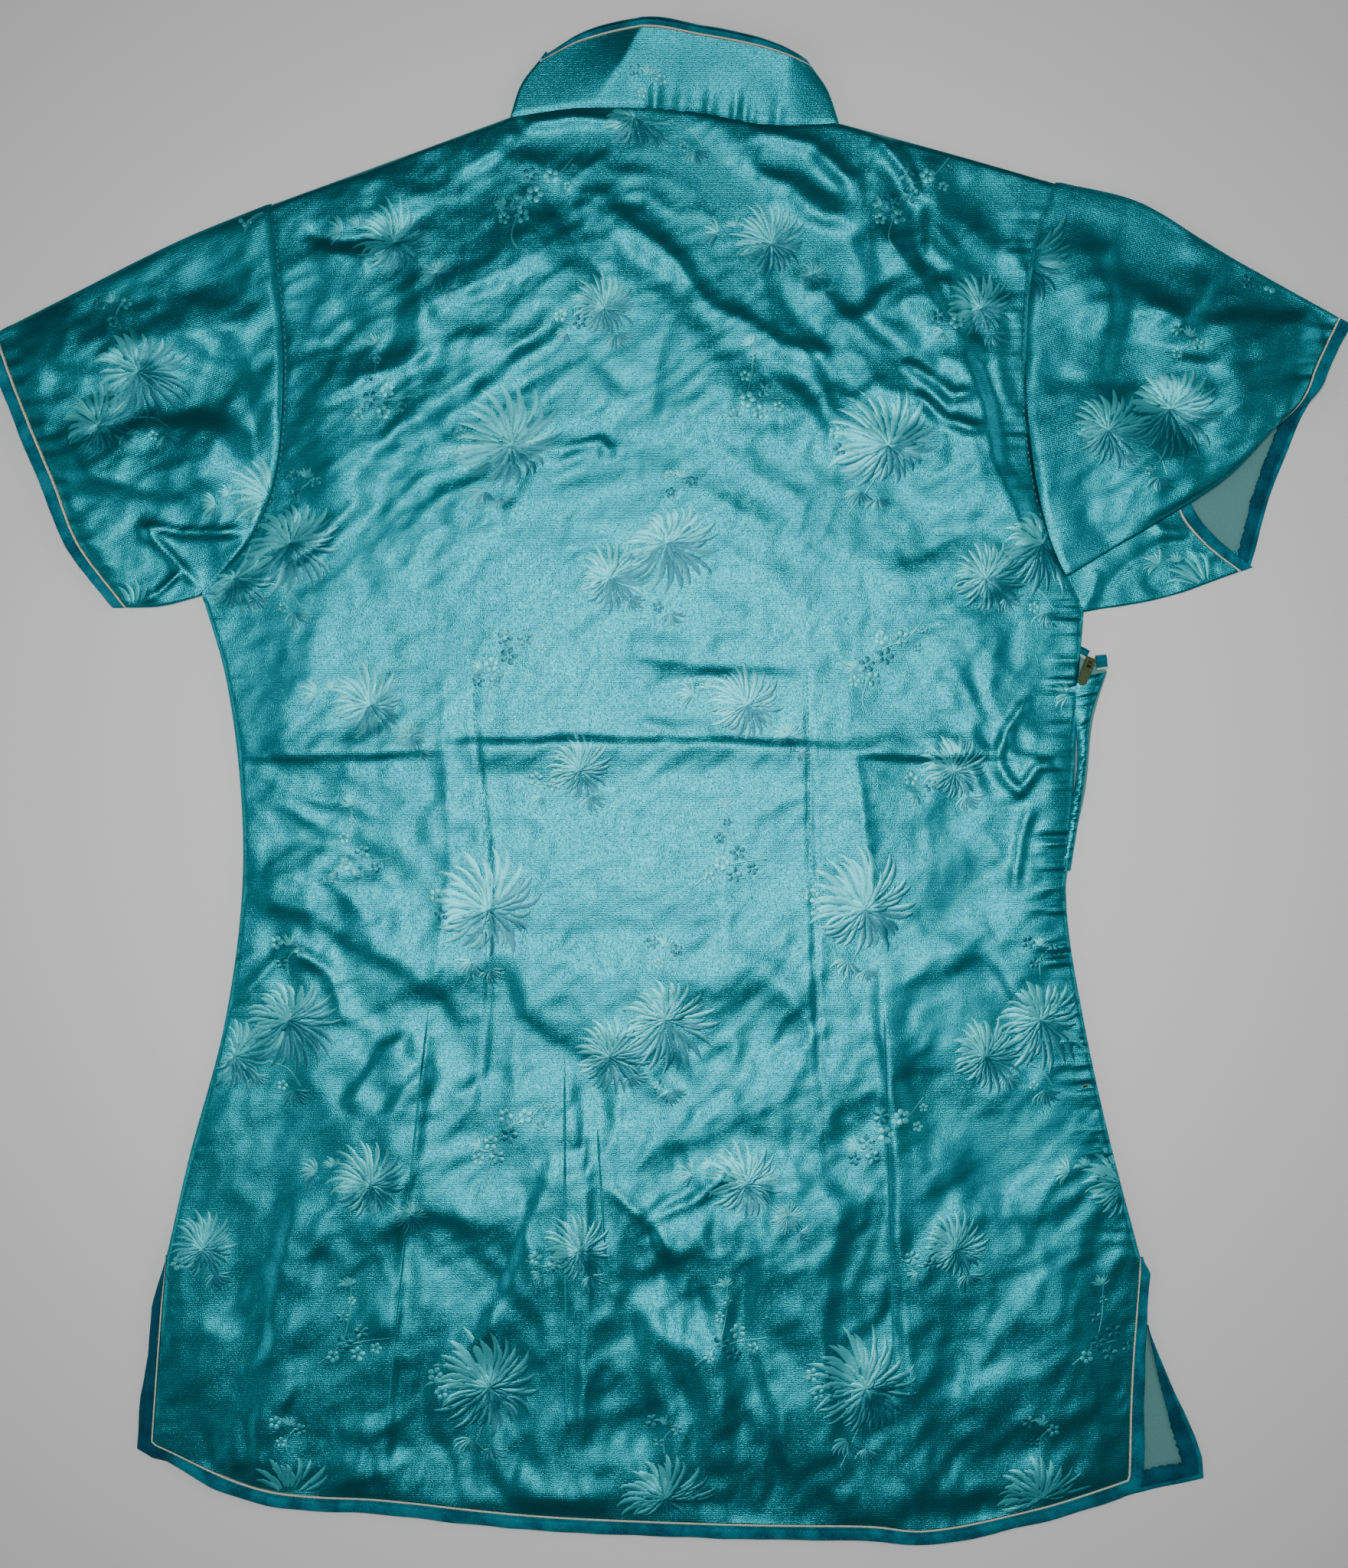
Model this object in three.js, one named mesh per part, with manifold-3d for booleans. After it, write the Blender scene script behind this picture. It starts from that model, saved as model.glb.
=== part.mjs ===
// A short-sleeved cheongsam blouse of satin brocade, laid flat on its front with its back uppermost.
// Millimetres: +Z up from the surface that it lies on, +Y towards the collar, +X towards the wearer's right.
import * as THREE from "three";
import { mergeVertices } from "three/addons/utils/BufferGeometryUtils.js";
import Module from "manifold-3d";

const manifold = await Module();
manifold.setup();

// ---- Driving dimensions -------------------------------------------------------------------------------------------
const WALL = 1.2; // cloth with its seam allowances pressed flat
const SEAM_GAP = 0.3; // between one sewn piece and the next
const CURVED_SEAM_GAP = 0.6; // at armholes and neck, where the two sides are cut into different chords
const FLOOR_LAYER = 0.6; // middle height of the cloth that lies on the surface
const INNER_LAYER = 2.1; // middle height of what is tucked between front and back
const BACK_LAYER = 3.6; // middle height of the back and of the sleeves' upper halves
const PLEAT_LAYER = 3.75; // the right sleeve's pleat, which is tucked under its upper half
const LIFTED_LAYER = 5.4; // the right sleeve's upper half where it rides over that pleat
const PLEAT_ON_ARMHOLE = { edge: 0.91, root: 0.84 }; // shares of the way down the armhole
const PIPING_WIDTH = 1.2;
const BINDING_WIDTH = 6.5;
const COLLAR_BINDING_WIDTH = 4.6; // it rolls over the collar's top
const FRONT_NECK_DROP = 74; // from the back of the neck down to the centre front
const TAPE = { width: 7, thickness: 0.8 };
const TEETH = { width: 2.2, thickness: 1.2 };
const SLIDER = { width: 5, length: 9.4, plate: 0.7, mouth: 1.2, nose: 2 };
const SLIDER_PLACE = { middle: [203.4, 56], leanDeg: 22, base: 1.5 };
const CROWN = { width: 1.6, reach: 1.55, hole: 0.85, along: 1.2, above: 0.8 };
const PULL = { width: 4.4, length: 11, thickness: 0.9, bar: 0.9, window: [2.2, 1.75] };
const CENTRE = [-2.73, -0.06]; // middle of the whole outline in the plan that the tables below are drawn in

// How many cells each edge is cut into
const CELLS = {
  across: 24, slit: 2, side: 9, armhole: 8, along: 6, shoulder: 5,
  neck: 14, halfNeck: 6, collar: 3, band: 3, fold: 4, zip: 10, turn: 8,
};

// ---- The blouse's cut: where its edges lie ------------------------------------------------------------------------
const BODY_LEVELS = [
  { level: "hem", left: [-254.6, -324], right: [222.8, -341.6] },
  { level: "mid slit", left: [-251.4, -278], right: [225.4, -292.5] },
  { level: "slit top", left: [-247.9, -231.8], right: [229.9, -232.5] },
  { level: "hip", left: [-237.4, -185.6], right: [214.9, -178.9] },
  { level: "high hip", left: [-220.1, -120.4], right: [201.5, -118] },
  { level: "waist", left: [-211.5, -58.9], right: [192.8, -58.5] },
  { level: "midriff", left: [-211.5, -10], right: [196.5, -3.4] },
  { level: "bust", left: [-219, 50], right: [198.6, 45] },
  { level: "armpit", left: [-231, 91.9], right: [201.5, 84] },
];
const ARMHOLE_LEVELS = [
  { level: "armpit", left: [-231, 91.9], right: [201.5, 84] },
  { level: "scoop", left: [-207.8, 118.1], right: [186.8, 113.6] },
  { level: "notch", left: [-196.5, 145], right: [177.5, 150] },
  { level: "shoulder blade", left: [-191.3, 200], right: [173.3, 200] },
  { level: "crown", left: [-195.4, 255.8], right: [178, 262] },
  { level: "shoulder tip", left: [-197.3, 282], right: [187.9, 292.5] },
];
const SHOULDER_SEAMS = [
  { at: "shoulder tip", left: [-197.3, 282], right: [187.9, 292.5] },
  { at: "mid shoulder", left: [-137.6, 303.8], right: [135.4, 307.5] },
  { at: "neck point", left: [-80, 325], right: [82, 322] },
];
const COLLAR_FOLDS = {
  left: [[-79.4, 326], [-74, 340], [-65, 352]],
  right: [[80.6, 322.8], [74.5, 339], [67.5, 349.5]],
};
const COLLAR_TOP = [[-65, 352], [-44.6, 362], [-14.6, 367.3], [15.4, 362.8], [45.4, 356.8], [67.5, 349.5]];
const COLLAR_FRONT_TOP = [
  { at: "side", x: 55, y: 318 },
  { at: "curve", x: 34, y: 299 },
  { at: "centre", x: 3.5, y: 288 },
];
const ZIP_LINE = [[207, -172], [195, -112], [189.5, -58.5], [197.2, -12], [199.8, 10], [200.4, 35], [201.4, 46]];
const SIDE_TURN = {
  inner: [[192.6, -44], [199, -8], [201.8, 12], [202.3, 35], [203.2, 45]],
  outer: [[195.2, -44], [201.6, -8], [204, 12], [206, 32], [210.5, 47]],
};
const OPENING_END = [[208.4, 54.2], [213, 54.2]];
const BACK_NECK = [[-80, 325], [-44.6, 329.6], [7.9, 327.8], [45.4, 321.4], [82, 322]];
const FRONT_NECK = [
  { at: "side", x: 74, drop: 28 },
  { at: "curve", x: 45, drop: 60 },
  { at: "centre", x: 2, drop: FRONT_NECK_DROP },
];
const BACK_HEM = [
  [-254.6, -324], [-200.3, -346.1], [-140.3, -351], [-67.1, -358.5], [39.8, -363],
  [97.9, -363.8], [122.3, -366], [180.4, -354.8], [222.8, -341.6],
];
const FRONT_HEM = [[-253, -322], [-140, -347], [0, -356], [120, -360], [190, -349], [252.4, -335.6]];
const FRONT_RIGHT_EDGE = [
  { level: "hem", at: [252.4, -335.6] },
  { level: "mid slit", at: [238, -288] },
  { level: "slit top", at: [226, -235] },
  { level: "hip", at: [213.5, -178.9] },
  { level: "high hip", at: [200.5, -118] },
  { level: "waist", at: [192.2, -58.5] },
  { level: "midriff", at: [202.4, -3.4] },
  { level: "bust", at: [206, 30] },
  { level: "zip top", at: [213, 54] },
];
const OPENING = [ // from the centre front, at the neck, to the side
  { level: "chest", at: [44, 214] },
  { level: "side chest", at: [118, 132] },
  { level: "under the arm", at: [178, 74] },
  { level: "zip top", at: [213, 54] },
];
const UNDERLAP_LOWER_EDGE = [[-14, 250], [20, 185], [90, 105], [150, 50], [187, 24]];

const CUFFS = {
  left: {
    top: [[-197.3, 282], [-241.5, 263.6], [-298.9, 234.8], [-331, 218.5]],
    cuff: [[-331, 218.5], [-322.5, 195], [-313.5, 172.5], [-301.6, 144.4], [-291, 117], [-268.5, 86.2]],
    under: [[-231, 91.9], [-250, 87.2], [-268.5, 86.2]],
  },
  right: {
    top: [[187.9, 292.5], [229.5, 282], [267.8, 258.8], [325.5, 226.5]],
    cuff: [[325.5, 226.5], [314.8, 204], [306.5, 185.5], [294, 172]],
    pleatEdge: [[232.9, 125.6], [270.4, 149.3], [294, 172]],
    pleatCuff: [[294, 172], [269, 171], [248, 158]],
    pleatRoot: [[214, 139], [248, 158]],
    flapCuff: [[248, 158], [247, 134], [260, 116], [276.5, 103]],
    under: [[240.4, 90.6], [276.5, 103]],
    frontCuff: [[276.5, 103], [285.5, 139], [297, 170], [314, 204], [325.5, 226.5]],
  },
};

// The largest folds of the upper layer: a soft ridge from one end to the other
const RIDGES = [
  { fold: "press fold across the waist", from: [-212, 12], to: [196, 12], width: 9, rise: 2.2 },
  { fold: "lower right press fold", from: [100, 0], to: [118, -352], width: 12, rise: 4 },
  { fold: "lower left press fold", from: [-112, -30], to: [-140, -340], width: 12, rise: 2.5 },
  { fold: "neck to right armhole", from: [30, 300], to: [150, 150], width: 20, rise: 4.5 },
  { fold: "right shoulder", from: [98, 300], to: [150, 215], width: 12, rise: 3.5 },
  { fold: "left armpit to shoulder blade", from: [-190, 120], to: [-70, 240], width: 22, rise: 4 },
  { fold: "under the neck", from: [-70, 300], to: [60, 290], width: 14, rise: 3 },
  { fold: "left skirt", from: [-60, -110], to: [-90, -330], width: 16, rise: 4 },
  { fold: "mid skirt", from: [0, -120], to: [20, -340], width: 18, rise: 4.5 },
  { fold: "right skirt", from: [170, -130], to: [190, -320], width: 18, rise: 3.5 },
  { fold: "left sleeve", from: [-290, 190], to: [-215, 200], width: 18, rise: 3.5 },
  { fold: "right sleeve", from: [215, 230], to: [300, 200], width: 18, rise: 3.5 },
];

// ---- Finishes ---------------------------------------------------------------------------------------------------
const BROCADE = new THREE.MeshStandardMaterial({ color: 0x3f97a3, roughness: 0.38, metalness: 0.25 });
const BINDING = new THREE.MeshStandardMaterial({ color: 0x2b93ad, roughness: 0.75, metalness: 0 });
const PIPING = new THREE.MeshStandardMaterial({ color: 0xcdb9a0, roughness: 0.7, metalness: 0 });
const TAPE_CLOTH = new THREE.MeshStandardMaterial({ color: 0x5d8f92, roughness: 0.85, metalness: 0 });
const METAL = new THREE.MeshStandardMaterial({ color: 0x6a6a3c, roughness: 0.4, metalness: 0.85 });

// ---- Curves and grids ---------------------------------------------------------------------------------------------
const point = ([x, y], z = 0) => new THREE.Vector3(x, y, z);

/** Points at equal steps along a smooth line through the given places. */
function along(places, cells) {
  return new THREE.CatmullRomCurve3(places.map((p) => point(p)), false, "centripetal").getSpacedPoints(cells);
}

/** Lines end to end as one, without the doubled points where they meet. */
const chain = (...lines) => lines.flatMap((line, k) => (k ? line.slice(1) : line));

/** Fills the plan between four edges: near and far run along u, start and end join them along v. */
function patch(near, far, start, end) {
  const across = near.length - 1;
  const up = start.length - 1;
  const blend = (terms) => terms.reduce((sum, [p, k]) => sum.addScaledVector(p, k), new THREE.Vector3());
  return start.map((_, j) =>
    near.map((_, i) => {
      const [u, v] = [i / across, j / up];
      return blend([
        [near[i], 1 - v], [far[i], v], [start[j], 1 - u], [end[j], u],
        [near[0], -(1 - u) * (1 - v)], [near[across], -u * (1 - v)],
        [far[0], -(1 - u) * v], [far[across], -u * v],
      ]);
    }),
  );
}

/** Sets each point of a grid to the height that a rule gives for its place. */
function lay(grid, height) {
  const [rows, columns] = [grid.length - 1, grid[0].length - 1];
  grid.forEach((row, j) => row.forEach((p, i) => (p.z = height(p, i / columns, j / rows))));
  return grid;
}

/** Rise of the upper layer above a flat one, from the table of ridges. */
function ridgeRise(p) {
  return RIDGES.reduce((rise, { from, to, width, rise: top }) => {
    const span = new THREE.Vector2(to[0] - from[0], to[1] - from[1]);
    const reach = new THREE.Vector2(p.x - from[0], p.y - from[1]);
    const t = THREE.MathUtils.clamp(reach.dot(span) / span.lengthSq(), 0, 1);
    const off = reach.sub(span.multiplyScalar(t)).length();
    return Math.max(rise, top * Math.exp(-((off / width) ** 2)));
  }, 0);
}

/** Eases from 0 at an edge to 1 once `reach` of the way in. */
const ease = (share, reach) => THREE.MathUtils.smoothstep(share, 0, reach);

/** The seam's neighbour: the same line moved sideways in plan, to its right as it runs when the distance is positive. */
function beside(line, distance) {
  return line.map((p, i) => {
    const run = new THREE.Vector3().subVectors(line[Math.min(i + 1, line.length - 1)], line[Math.max(i - 1, 0)]);
    return p.clone().add(new THREE.Vector3(run.y, -run.x, 0).normalize().multiplyScalar(distance));
  });
}

/** Plan directions out of an edge line, lengthened at its corners so that a strip keeps its width. */
function outward(line, side) {
  return line.map((p, i) => {
    const before = new THREE.Vector3().subVectors(p, line[Math.max(i - 1, 0)]).setZ(0).normalize();
    const after = new THREE.Vector3().subVectors(line[Math.min(i + 1, line.length - 1)], p).setZ(0).normalize();
    const run = before.clone().add(after).normalize();
    const widen = 1 / Math.max(0.6, run.dot(before.lengthSq() ? before : after));
    return new THREE.Vector3(run.y, -run.x, 0).multiplyScalar(side * widen);
  });
}

// ---- Closed walls -------------------------------------------------------------------------------------------------
/** One closed body between two equal grids of points, `ring` when the rows close on themselves. */
function closedWall(upper, lower, ring = false) {
  const rows = upper.length;
  const columns = upper[0].length;
  const positions = [...upper.flat(), ...lower.flat()].flatMap((p) => p.toArray());
  const top = (j, i) => j * columns + (i % columns);
  const under = (j, i) => rows * columns + top(j, i);
  const faces = [];
  const quad = (a, b, c, d) => faces.push(a, b, c, a, c, d);
  const cells = ring ? columns : columns - 1;
  for (let i = 0; i < cells; i++) {
    for (let j = 0; j < rows - 1; j++) {
      quad(top(j, i), top(j, i + 1), top(j + 1, i + 1), top(j + 1, i));
      quad(under(j, i), under(j + 1, i), under(j + 1, i + 1), under(j, i + 1));
    }
    quad(under(0, i), under(0, i + 1), top(0, i + 1), top(0, i));
    quad(top(rows - 1, i), top(rows - 1, i + 1), under(rows - 1, i + 1), under(rows - 1, i));
  }
  if (!ring) {
    for (let j = 0; j < rows - 1; j++) {
      quad(under(j, 0), top(j, 0), top(j + 1, 0), under(j + 1, 0));
      quad(top(j, columns - 1), under(j, columns - 1), under(j + 1, columns - 1), top(j + 1, columns - 1));
    }
  }
  const geometry = new THREE.BufferGeometry();
  geometry.setAttribute("position", new THREE.Float32BufferAttribute(positions, 3));
  geometry.setIndex(enclosedVolume(positions, faces) < 0 ? faces.reverse() : faces);
  geometry.computeVertexNormals();
  return geometry;
}

/** Signed volume inside a set of triangles: negative when they face inwards. */
function enclosedVolume(positions, faces) {
  const corner = (k) => new THREE.Vector3().fromArray(positions, 3 * faces[k]);
  let volume = 0;
  for (let k = 0; k < faces.length; k += 3) {
    volume += corner(k).dot(corner(k + 1).cross(corner(k + 2))) / 6;
  }
  return volume;
}

/** A nearly level wall: thick straight up and down about its grid. */
function slab(grid) {
  const moved = (rise) => grid.map((row) => row.map((p) => p.clone().setZ(p.z + rise)));
  return closedWall(moved(WALL / 2), moved(-WALL / 2));
}

/** A wall of a folded grid: thick along the cloth's own normal. */
function shell(grid, { ring = false, thickness = WALL } = {}) {
  const rows = grid.length;
  const columns = grid[0].length;
  const at = (j, i) => {
    const row = grid[THREE.MathUtils.clamp(j, 0, rows - 1)];
    return ring ? row[(i + columns) % columns] : row[THREE.MathUtils.clamp(i, 0, columns - 1)];
  };
  const normal = (j, i) => {
    const around = new THREE.Vector3().subVectors(at(j, i + 1), at(j, i - 1));
    const forward = new THREE.Vector3().subVectors(at(j + 1, i), at(j - 1, i));
    return around.cross(forward).normalize();
  };
  const offset = (side) =>
    grid.map((row, j) =>
      row.map((p, i) => p.clone().addScaledVector(p.normal ?? normal(j, i), (side * thickness) / 2)),
    );
  return closedWall(offset(1), offset(-1), ring);
}

/** A point that carries the direction that the cloth faces in there. */
const facing = (p, normal) => Object.assign(p, { normal });

/** Joins layers that lie on each other into one folded grid, with a round turn from each to the next. */
function folded(layers, ring = false) {
  const up = new THREE.Vector3(0, 0, 1);
  const turn = (before, from, to, face) => {
    const out = new THREE.Vector3().subVectors(from, before).setZ(0).normalize();
    const radius = (from.z - to.z) / 2;
    const side = face * Math.sign(radius);
    return Array.from({ length: CELLS.fold - 1 }, (_, k) => {
      const angle = (Math.PI * (k + 1)) / CELLS.fold;
      const middle = from.clone().lerp(to, (1 - Math.cos(angle)) / 2);
      const normal = out.clone().multiplyScalar(side * Math.sin(angle)).addScaledVector(up, face * Math.cos(angle));
      return facing(middle.addScaledVector(out, Math.abs(radius) * Math.sin(angle)), normal);
    });
  };
  return layers[0].map((_, j) =>
    layers.flatMap((layer, k) => {
      const face = k % 2 ? -1 : 1;
      const line = layer[j].map((p) => facing(p.clone(), up.clone().multiplyScalar(face)));
      const next = layers[(k + 1) % layers.length][j][0];
      const last = k === layers.length - 1 && !ring;
      return last ? line : [...line, ...turn(line.at(-2), line.at(-1), next, face)];
    }),
  );
}

/** A strip sewn along an edge: from `start` to `start + width` outside it. */
function strip(line, directions, start, width, options) {
  const moved = (distance) =>
    line.map((p, i) => facing(p.clone().addScaledVector(directions[i], distance), p.normal));
  return shell([moved(start), moved(start + width)], options);
}

// ---- The scene graph ------------------------------------------------------------------------------------------------
const blouse = new THREE.Group();

/** Adds a named piece to the blouse. */
function piece(name, geometry, material) {
  const mesh = new THREE.Mesh(geometry, material);
  mesh.name = name;
  blouse.add(mesh);
  return mesh;
}

/** Piping, and the binding outside it, along one edge. */
function trim(name, line, directions, { ring = false, gap = SEAM_GAP, width = BINDING_WIDTH } = {}) {
  const bindingStart = gap + PIPING_WIDTH + gap;
  piece(`${name}_piping`, strip(line, directions, gap, PIPING_WIDTH, { ring }), PIPING);
  piece(`${name}_binding`, strip(line, directions, bindingStart, width, { ring }), BINDING);
}

const column = (levels, side) => levels.map((level) => level[side]);
const armhole = (side) => along(column(ARMHOLE_LEVELS, side), CELLS.armhole);

/** A body side edge from the hem up to the shoulder tip, with a point at the slit's top and at the armpit. */
function sideEdge(side) {
  const edge = column(BODY_LEVELS, side);
  return chain(along(edge.slice(0, 3), CELLS.slit), along(edge.slice(2), CELLS.side), armhole(side));
}

/** Half of the front neckline, from the neck point down to the centre front. */
function frontNeck(side) {
  const sign = side === "left" ? -1 : 1;
  const neckPoint = SHOULDER_SEAMS.at(-1)[side];
  return [neckPoint, ...FRONT_NECK.map(({ x, drop }) => [sign * x, neckPoint[1] - drop])];
}

function addBack() {
  const shoulders = (side) => column(SHOULDER_SEAMS, side);
  const seam = (CELLS.across - CELLS.neck) / 2;
  const top = chain(
    along(shoulders("left"), seam), along(BACK_NECK, CELLS.neck), along(shoulders("right").reverse(), seam),
  );
  const grid = patch(along(BACK_HEM, CELLS.across), top, sideEdge("left"), sideEdge("right"));
  lay(grid, (p, u, v) => BACK_LAYER + ridgeRise(p) * ease(u, 0.06) * ease(1 - u, 0.06) * ease(v, 0.04));
  piece("back_panel", slab(grid), BROCADE);

  const slit = grid.slice(1, CELLS.slit + 1);
  const edge = [...slit.map((row) => row[0]).reverse(), ...grid[0], ...slit.map((row) => row.at(-1))];
  trim("back_hem", edge, outward(edge, 1));
}

function addFront() {
  const sides = along(column(FRONT_RIGHT_EDGE, "at").slice(0, 3), CELLS.slit);
  const right = chain(sides, along(column(FRONT_RIGHT_EDGE, "at").slice(2), CELLS.side + CELLS.armhole));
  const neck = frontNeck("left");
  const opening = [neck.at(-1), ...column(OPENING, "at")];
  const top = chain(
    along(column(SHOULDER_SEAMS, "left"), CELLS.shoulder), along(neck, CELLS.halfNeck),
    along(opening, CELLS.across - CELLS.shoulder - CELLS.halfNeck),
  );
  const grid = patch(along(FRONT_HEM, CELLS.across), top, sideEdge("left"), right);
  lay(grid, () => FLOOR_LAYER);
  piece("front_panel", slab(grid), BROCADE);

  const slit = grid.slice(1, CELLS.slit + 1);
  const hem = [...slit.map((row) => row[0]).reverse(), ...grid[0], ...slit.map((row) => row.at(-1))];
  trim("front_hem", hem, outward(hem, 1));
  const openingEdge = grid.at(-1).slice(CELLS.shoulder + CELLS.halfNeck);
  openingEdge[0] = openingEdge[0].clone().lerp(openingEdge[1], 0.3); // starts just past the collar's end
  trim("opening", openingEdge, outward(openingEdge, -1));
}

/** The smaller front piece behind the slanting opening, on the wearer's right. */
function addUnderlap() {
  const neck = frontNeck("right").reverse();
  const seam = beside(armhole("right"), -CURVED_SEAM_GAP);
  const [inner, outer] = [UNDERLAP_LOWER_EDGE[0], UNDERLAP_LOWER_EDGE.at(-1)];
  const centre = chain(along([inner, neck[0]], CELLS.band), along(neck, CELLS.halfNeck));
  const side = chain([point(outer), seam[0]], seam);
  const shoulder = along(column(SHOULDER_SEAMS, "right").reverse(), CELLS.armhole);
  const grid = patch(along(UNDERLAP_LOWER_EDGE, CELLS.armhole), shoulder, centre, side);
  piece("front_underlap", slab(lay(grid, () => INNER_LAYER)), BROCADE);
}

/** Trim at the far end of a grid, carried on in the direction that the cloth runs in there. */
function endTrim(name, grid, options = {}) {
  const [before, end] = [grid.at(-2), grid.at(-1)];
  const directions = end.map((p, i) => new THREE.Vector3().subVectors(p, before[i]).setZ(0).normalize());
  trim(name, end, directions, { gap: CURVED_SEAM_GAP, ...options });
}

/** A line through places given in plan, starting from a point that is already made. */
const from = (start, places, cells) => along([[start.x, start.y], ...places], cells);

function addLeftSleeve() {
  const { top, cuff, under } = CUFFS.left;
  const seam = beside(armhole("left").reverse(), CURVED_SEAM_GAP);
  const body = () =>
    patch(seam, along(cuff, CELLS.armhole), from(seam[0], top.slice(1), CELLS.along),
      from(seam.at(-1), under.slice(1), CELLS.along));
  const upper = lay(body(), (p, u) => BACK_LAYER + ridgeRise(p) * Math.sin(Math.PI * u));
  const lower = lay(body(), () => FLOOR_LAYER).map((row) => [...row].reverse());
  const grid = folded([upper, lower], true);
  piece("sleeve_left", shell(grid, { ring: true }), BROCADE);
  endTrim("sleeve_left", grid, { ring: true });
}

function addRightSleeve() {
  const { top, cuff, pleatEdge, pleatCuff, pleatRoot, flapCuff, under, frontCuff } = CUFFS.right;
  const seam = beside(armhole("right").reverse(), -CURVED_SEAM_GAP);
  const seamLine = new THREE.CatmullRomCurve3(seam, false, "centripetal");
  const seamPart = (start, end, cells) =>
    Array.from({ length: cells + 1 }, (_, k) => seamLine.getPointAt(THREE.MathUtils.lerp(start, end, k / cells)));
  const { edge, root } = PLEAT_ON_ARMHOLE;
  const [crown, edgeStart, rootStart, armpit] = [0, edge, root, 1].map((t) => seamLine.getPointAt(t));
  const topEdge = from(crown, top.slice(1), CELLS.along);
  const outerFold = from(edgeStart, pleatEdge, CELLS.along);
  const innerFold = from(rootStart, pleatRoot, CELLS.along);
  const underFold = from(armpit, under, CELLS.along);
  const { armhole: around, band } = CELLS;

  const upper = patch(seamPart(0, edge, around), along(cuff, around), topEdge, outerFold);
  const pleat = patch(seamPart(edge, root, band), along(pleatCuff, band), outerFold, innerFold);
  const flap = patch(seamPart(root, 1, band), along(flapCuff, band), innerFold, underFold);
  const floor = patch(seamPart(1, 0, around), along(frontCuff, around), underFold, topEdge);
  lay(upper, (p, u) => {
    const height = THREE.MathUtils.lerp(BACK_LAYER, LIFTED_LAYER, ease(u - 0.4, 0.25));
    return height + ridgeRise(p) * Math.sin(Math.PI * u);
  });
  lay(pleat, () => PLEAT_LAYER);
  lay(flap, () => INNER_LAYER);
  lay(floor, () => FLOOR_LAYER);
  piece("sleeve_right", shell(folded([upper, pleat, flap, floor], true), { ring: true }), BROCADE);
  const trimmed = folded([flap, floor, upper]).map((row) => row.slice(0, -1)); // ends short of the outer fold
  endTrim("sleeve_right", trimmed);
}

/** The stand collar, pressed flat: a long band folded at both sides of the neck, its ends meeting at the front. */
function addCollar() {
  const fold = (side) => along(COLLAR_FOLDS[side], CELLS.collar);
  const back = patch(
    from(fold("left")[0], [[-44.6, 330.2], [7.9, 328.4], [45.4, 322], COLLAR_FOLDS.right[0]], CELLS.neck),
    along(COLLAR_TOP, CELLS.neck), fold("left"), fold("right"),
  );
  const half = (side) => {
    const sign = side === "left" ? -1 : 1;
    const neckline = beside(along(frontNeck(side), CELLS.halfNeck), sign * CURVED_SEAM_GAP);
    const foldTop = COLLAR_FOLDS[side].at(-1);
    const top = along([foldTop, ...COLLAR_FRONT_TOP.map(({ x, y }) => [sign * x, y])], CELLS.halfNeck);
    const seam = [fold(side)[0], ...neckline.slice(1)];
    const centre = along([seam.at(-1), top.at(-1)].map((p) => [p.x, p.y]), CELLS.collar);
    return lay(patch(seam, top, fold(side), centre), () => (side === "left" ? FLOOR_LAYER : INNER_LAYER));
  };
  lay(back, () => BACK_LAYER);
  const leftHalf = half("left").map((row) => [...row].reverse());
  const grid = folded([leftHalf, back, half("right")]);
  piece("collar_band", shell(grid), BROCADE);
  endTrim("collar", grid, { width: COLLAR_BINDING_WIDTH });
}

/** The side zip: its teeth along the edge, the tape under the back, and the front's turned edge outside them. */
function addZip() {
  const line = along(ZIP_LINE, CELLS.zip).map((p) => p.setZ(INNER_LAYER));
  const out = outward(line, 1);
  const half = TEETH.width / 2;
  piece("zip_teeth", strip(line, out, -half, TEETH.width, { thickness: TEETH.thickness }), METAL);
  const tapeLine = line.map((p) => p.clone().setZ(INNER_LAYER - (TEETH.thickness - TAPE.thickness) / 2));
  piece("zip_tape", strip(tapeLine, out, -half - SEAM_GAP - TAPE.width, TAPE.width, TAPE), TAPE_CLOTH);
  const turn = [along(SIDE_TURN.inner, CELLS.turn), along(SIDE_TURN.outer, CELLS.turn)];
  piece("front_side_turn", slab(lay(turn, () => INNER_LAYER)), BROCADE);
  const end = along(OPENING_END, 2).map((p) => p.setZ(INNER_LAYER));
  trim("opening_end", end, outward(end, -1));
}

/** A flat outline raised to a thickness, as a solid for joining. */
function extruded(shape, depth) {
  const geometry = new THREE.ExtrudeGeometry(shape, { depth, bevelEnabled: false, curveSegments: 12 });
  return geometry.translate(0, 0, -depth / 2);
}

/** Joins closed meshes that overlap into one. */
function joined(...geometries) {
  const solids = geometries.map((geometry) => {
    geometry.deleteAttribute("normal");
    geometry.deleteAttribute("uv");
    const merged = mergeVertices(geometry);
    const mesh = { numProp: 3, vertProperties: merged.attributes.position.array, triVerts: merged.index.array };
    return new manifold.Manifold(new manifold.Mesh({ ...mesh, triVerts: new Uint32Array(mesh.triVerts) }));
  });
  const mesh = solids.reduce((sum, next) => sum.add(next)).getMesh();
  const geometry = new THREE.BufferGeometry();
  geometry.setAttribute("position", new THREE.BufferAttribute(mesh.vertProperties, 3));
  geometry.setIndex(new THREE.BufferAttribute(mesh.triVerts, 1));
  geometry.computeVertexNormals();
  return geometry;
}

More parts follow.
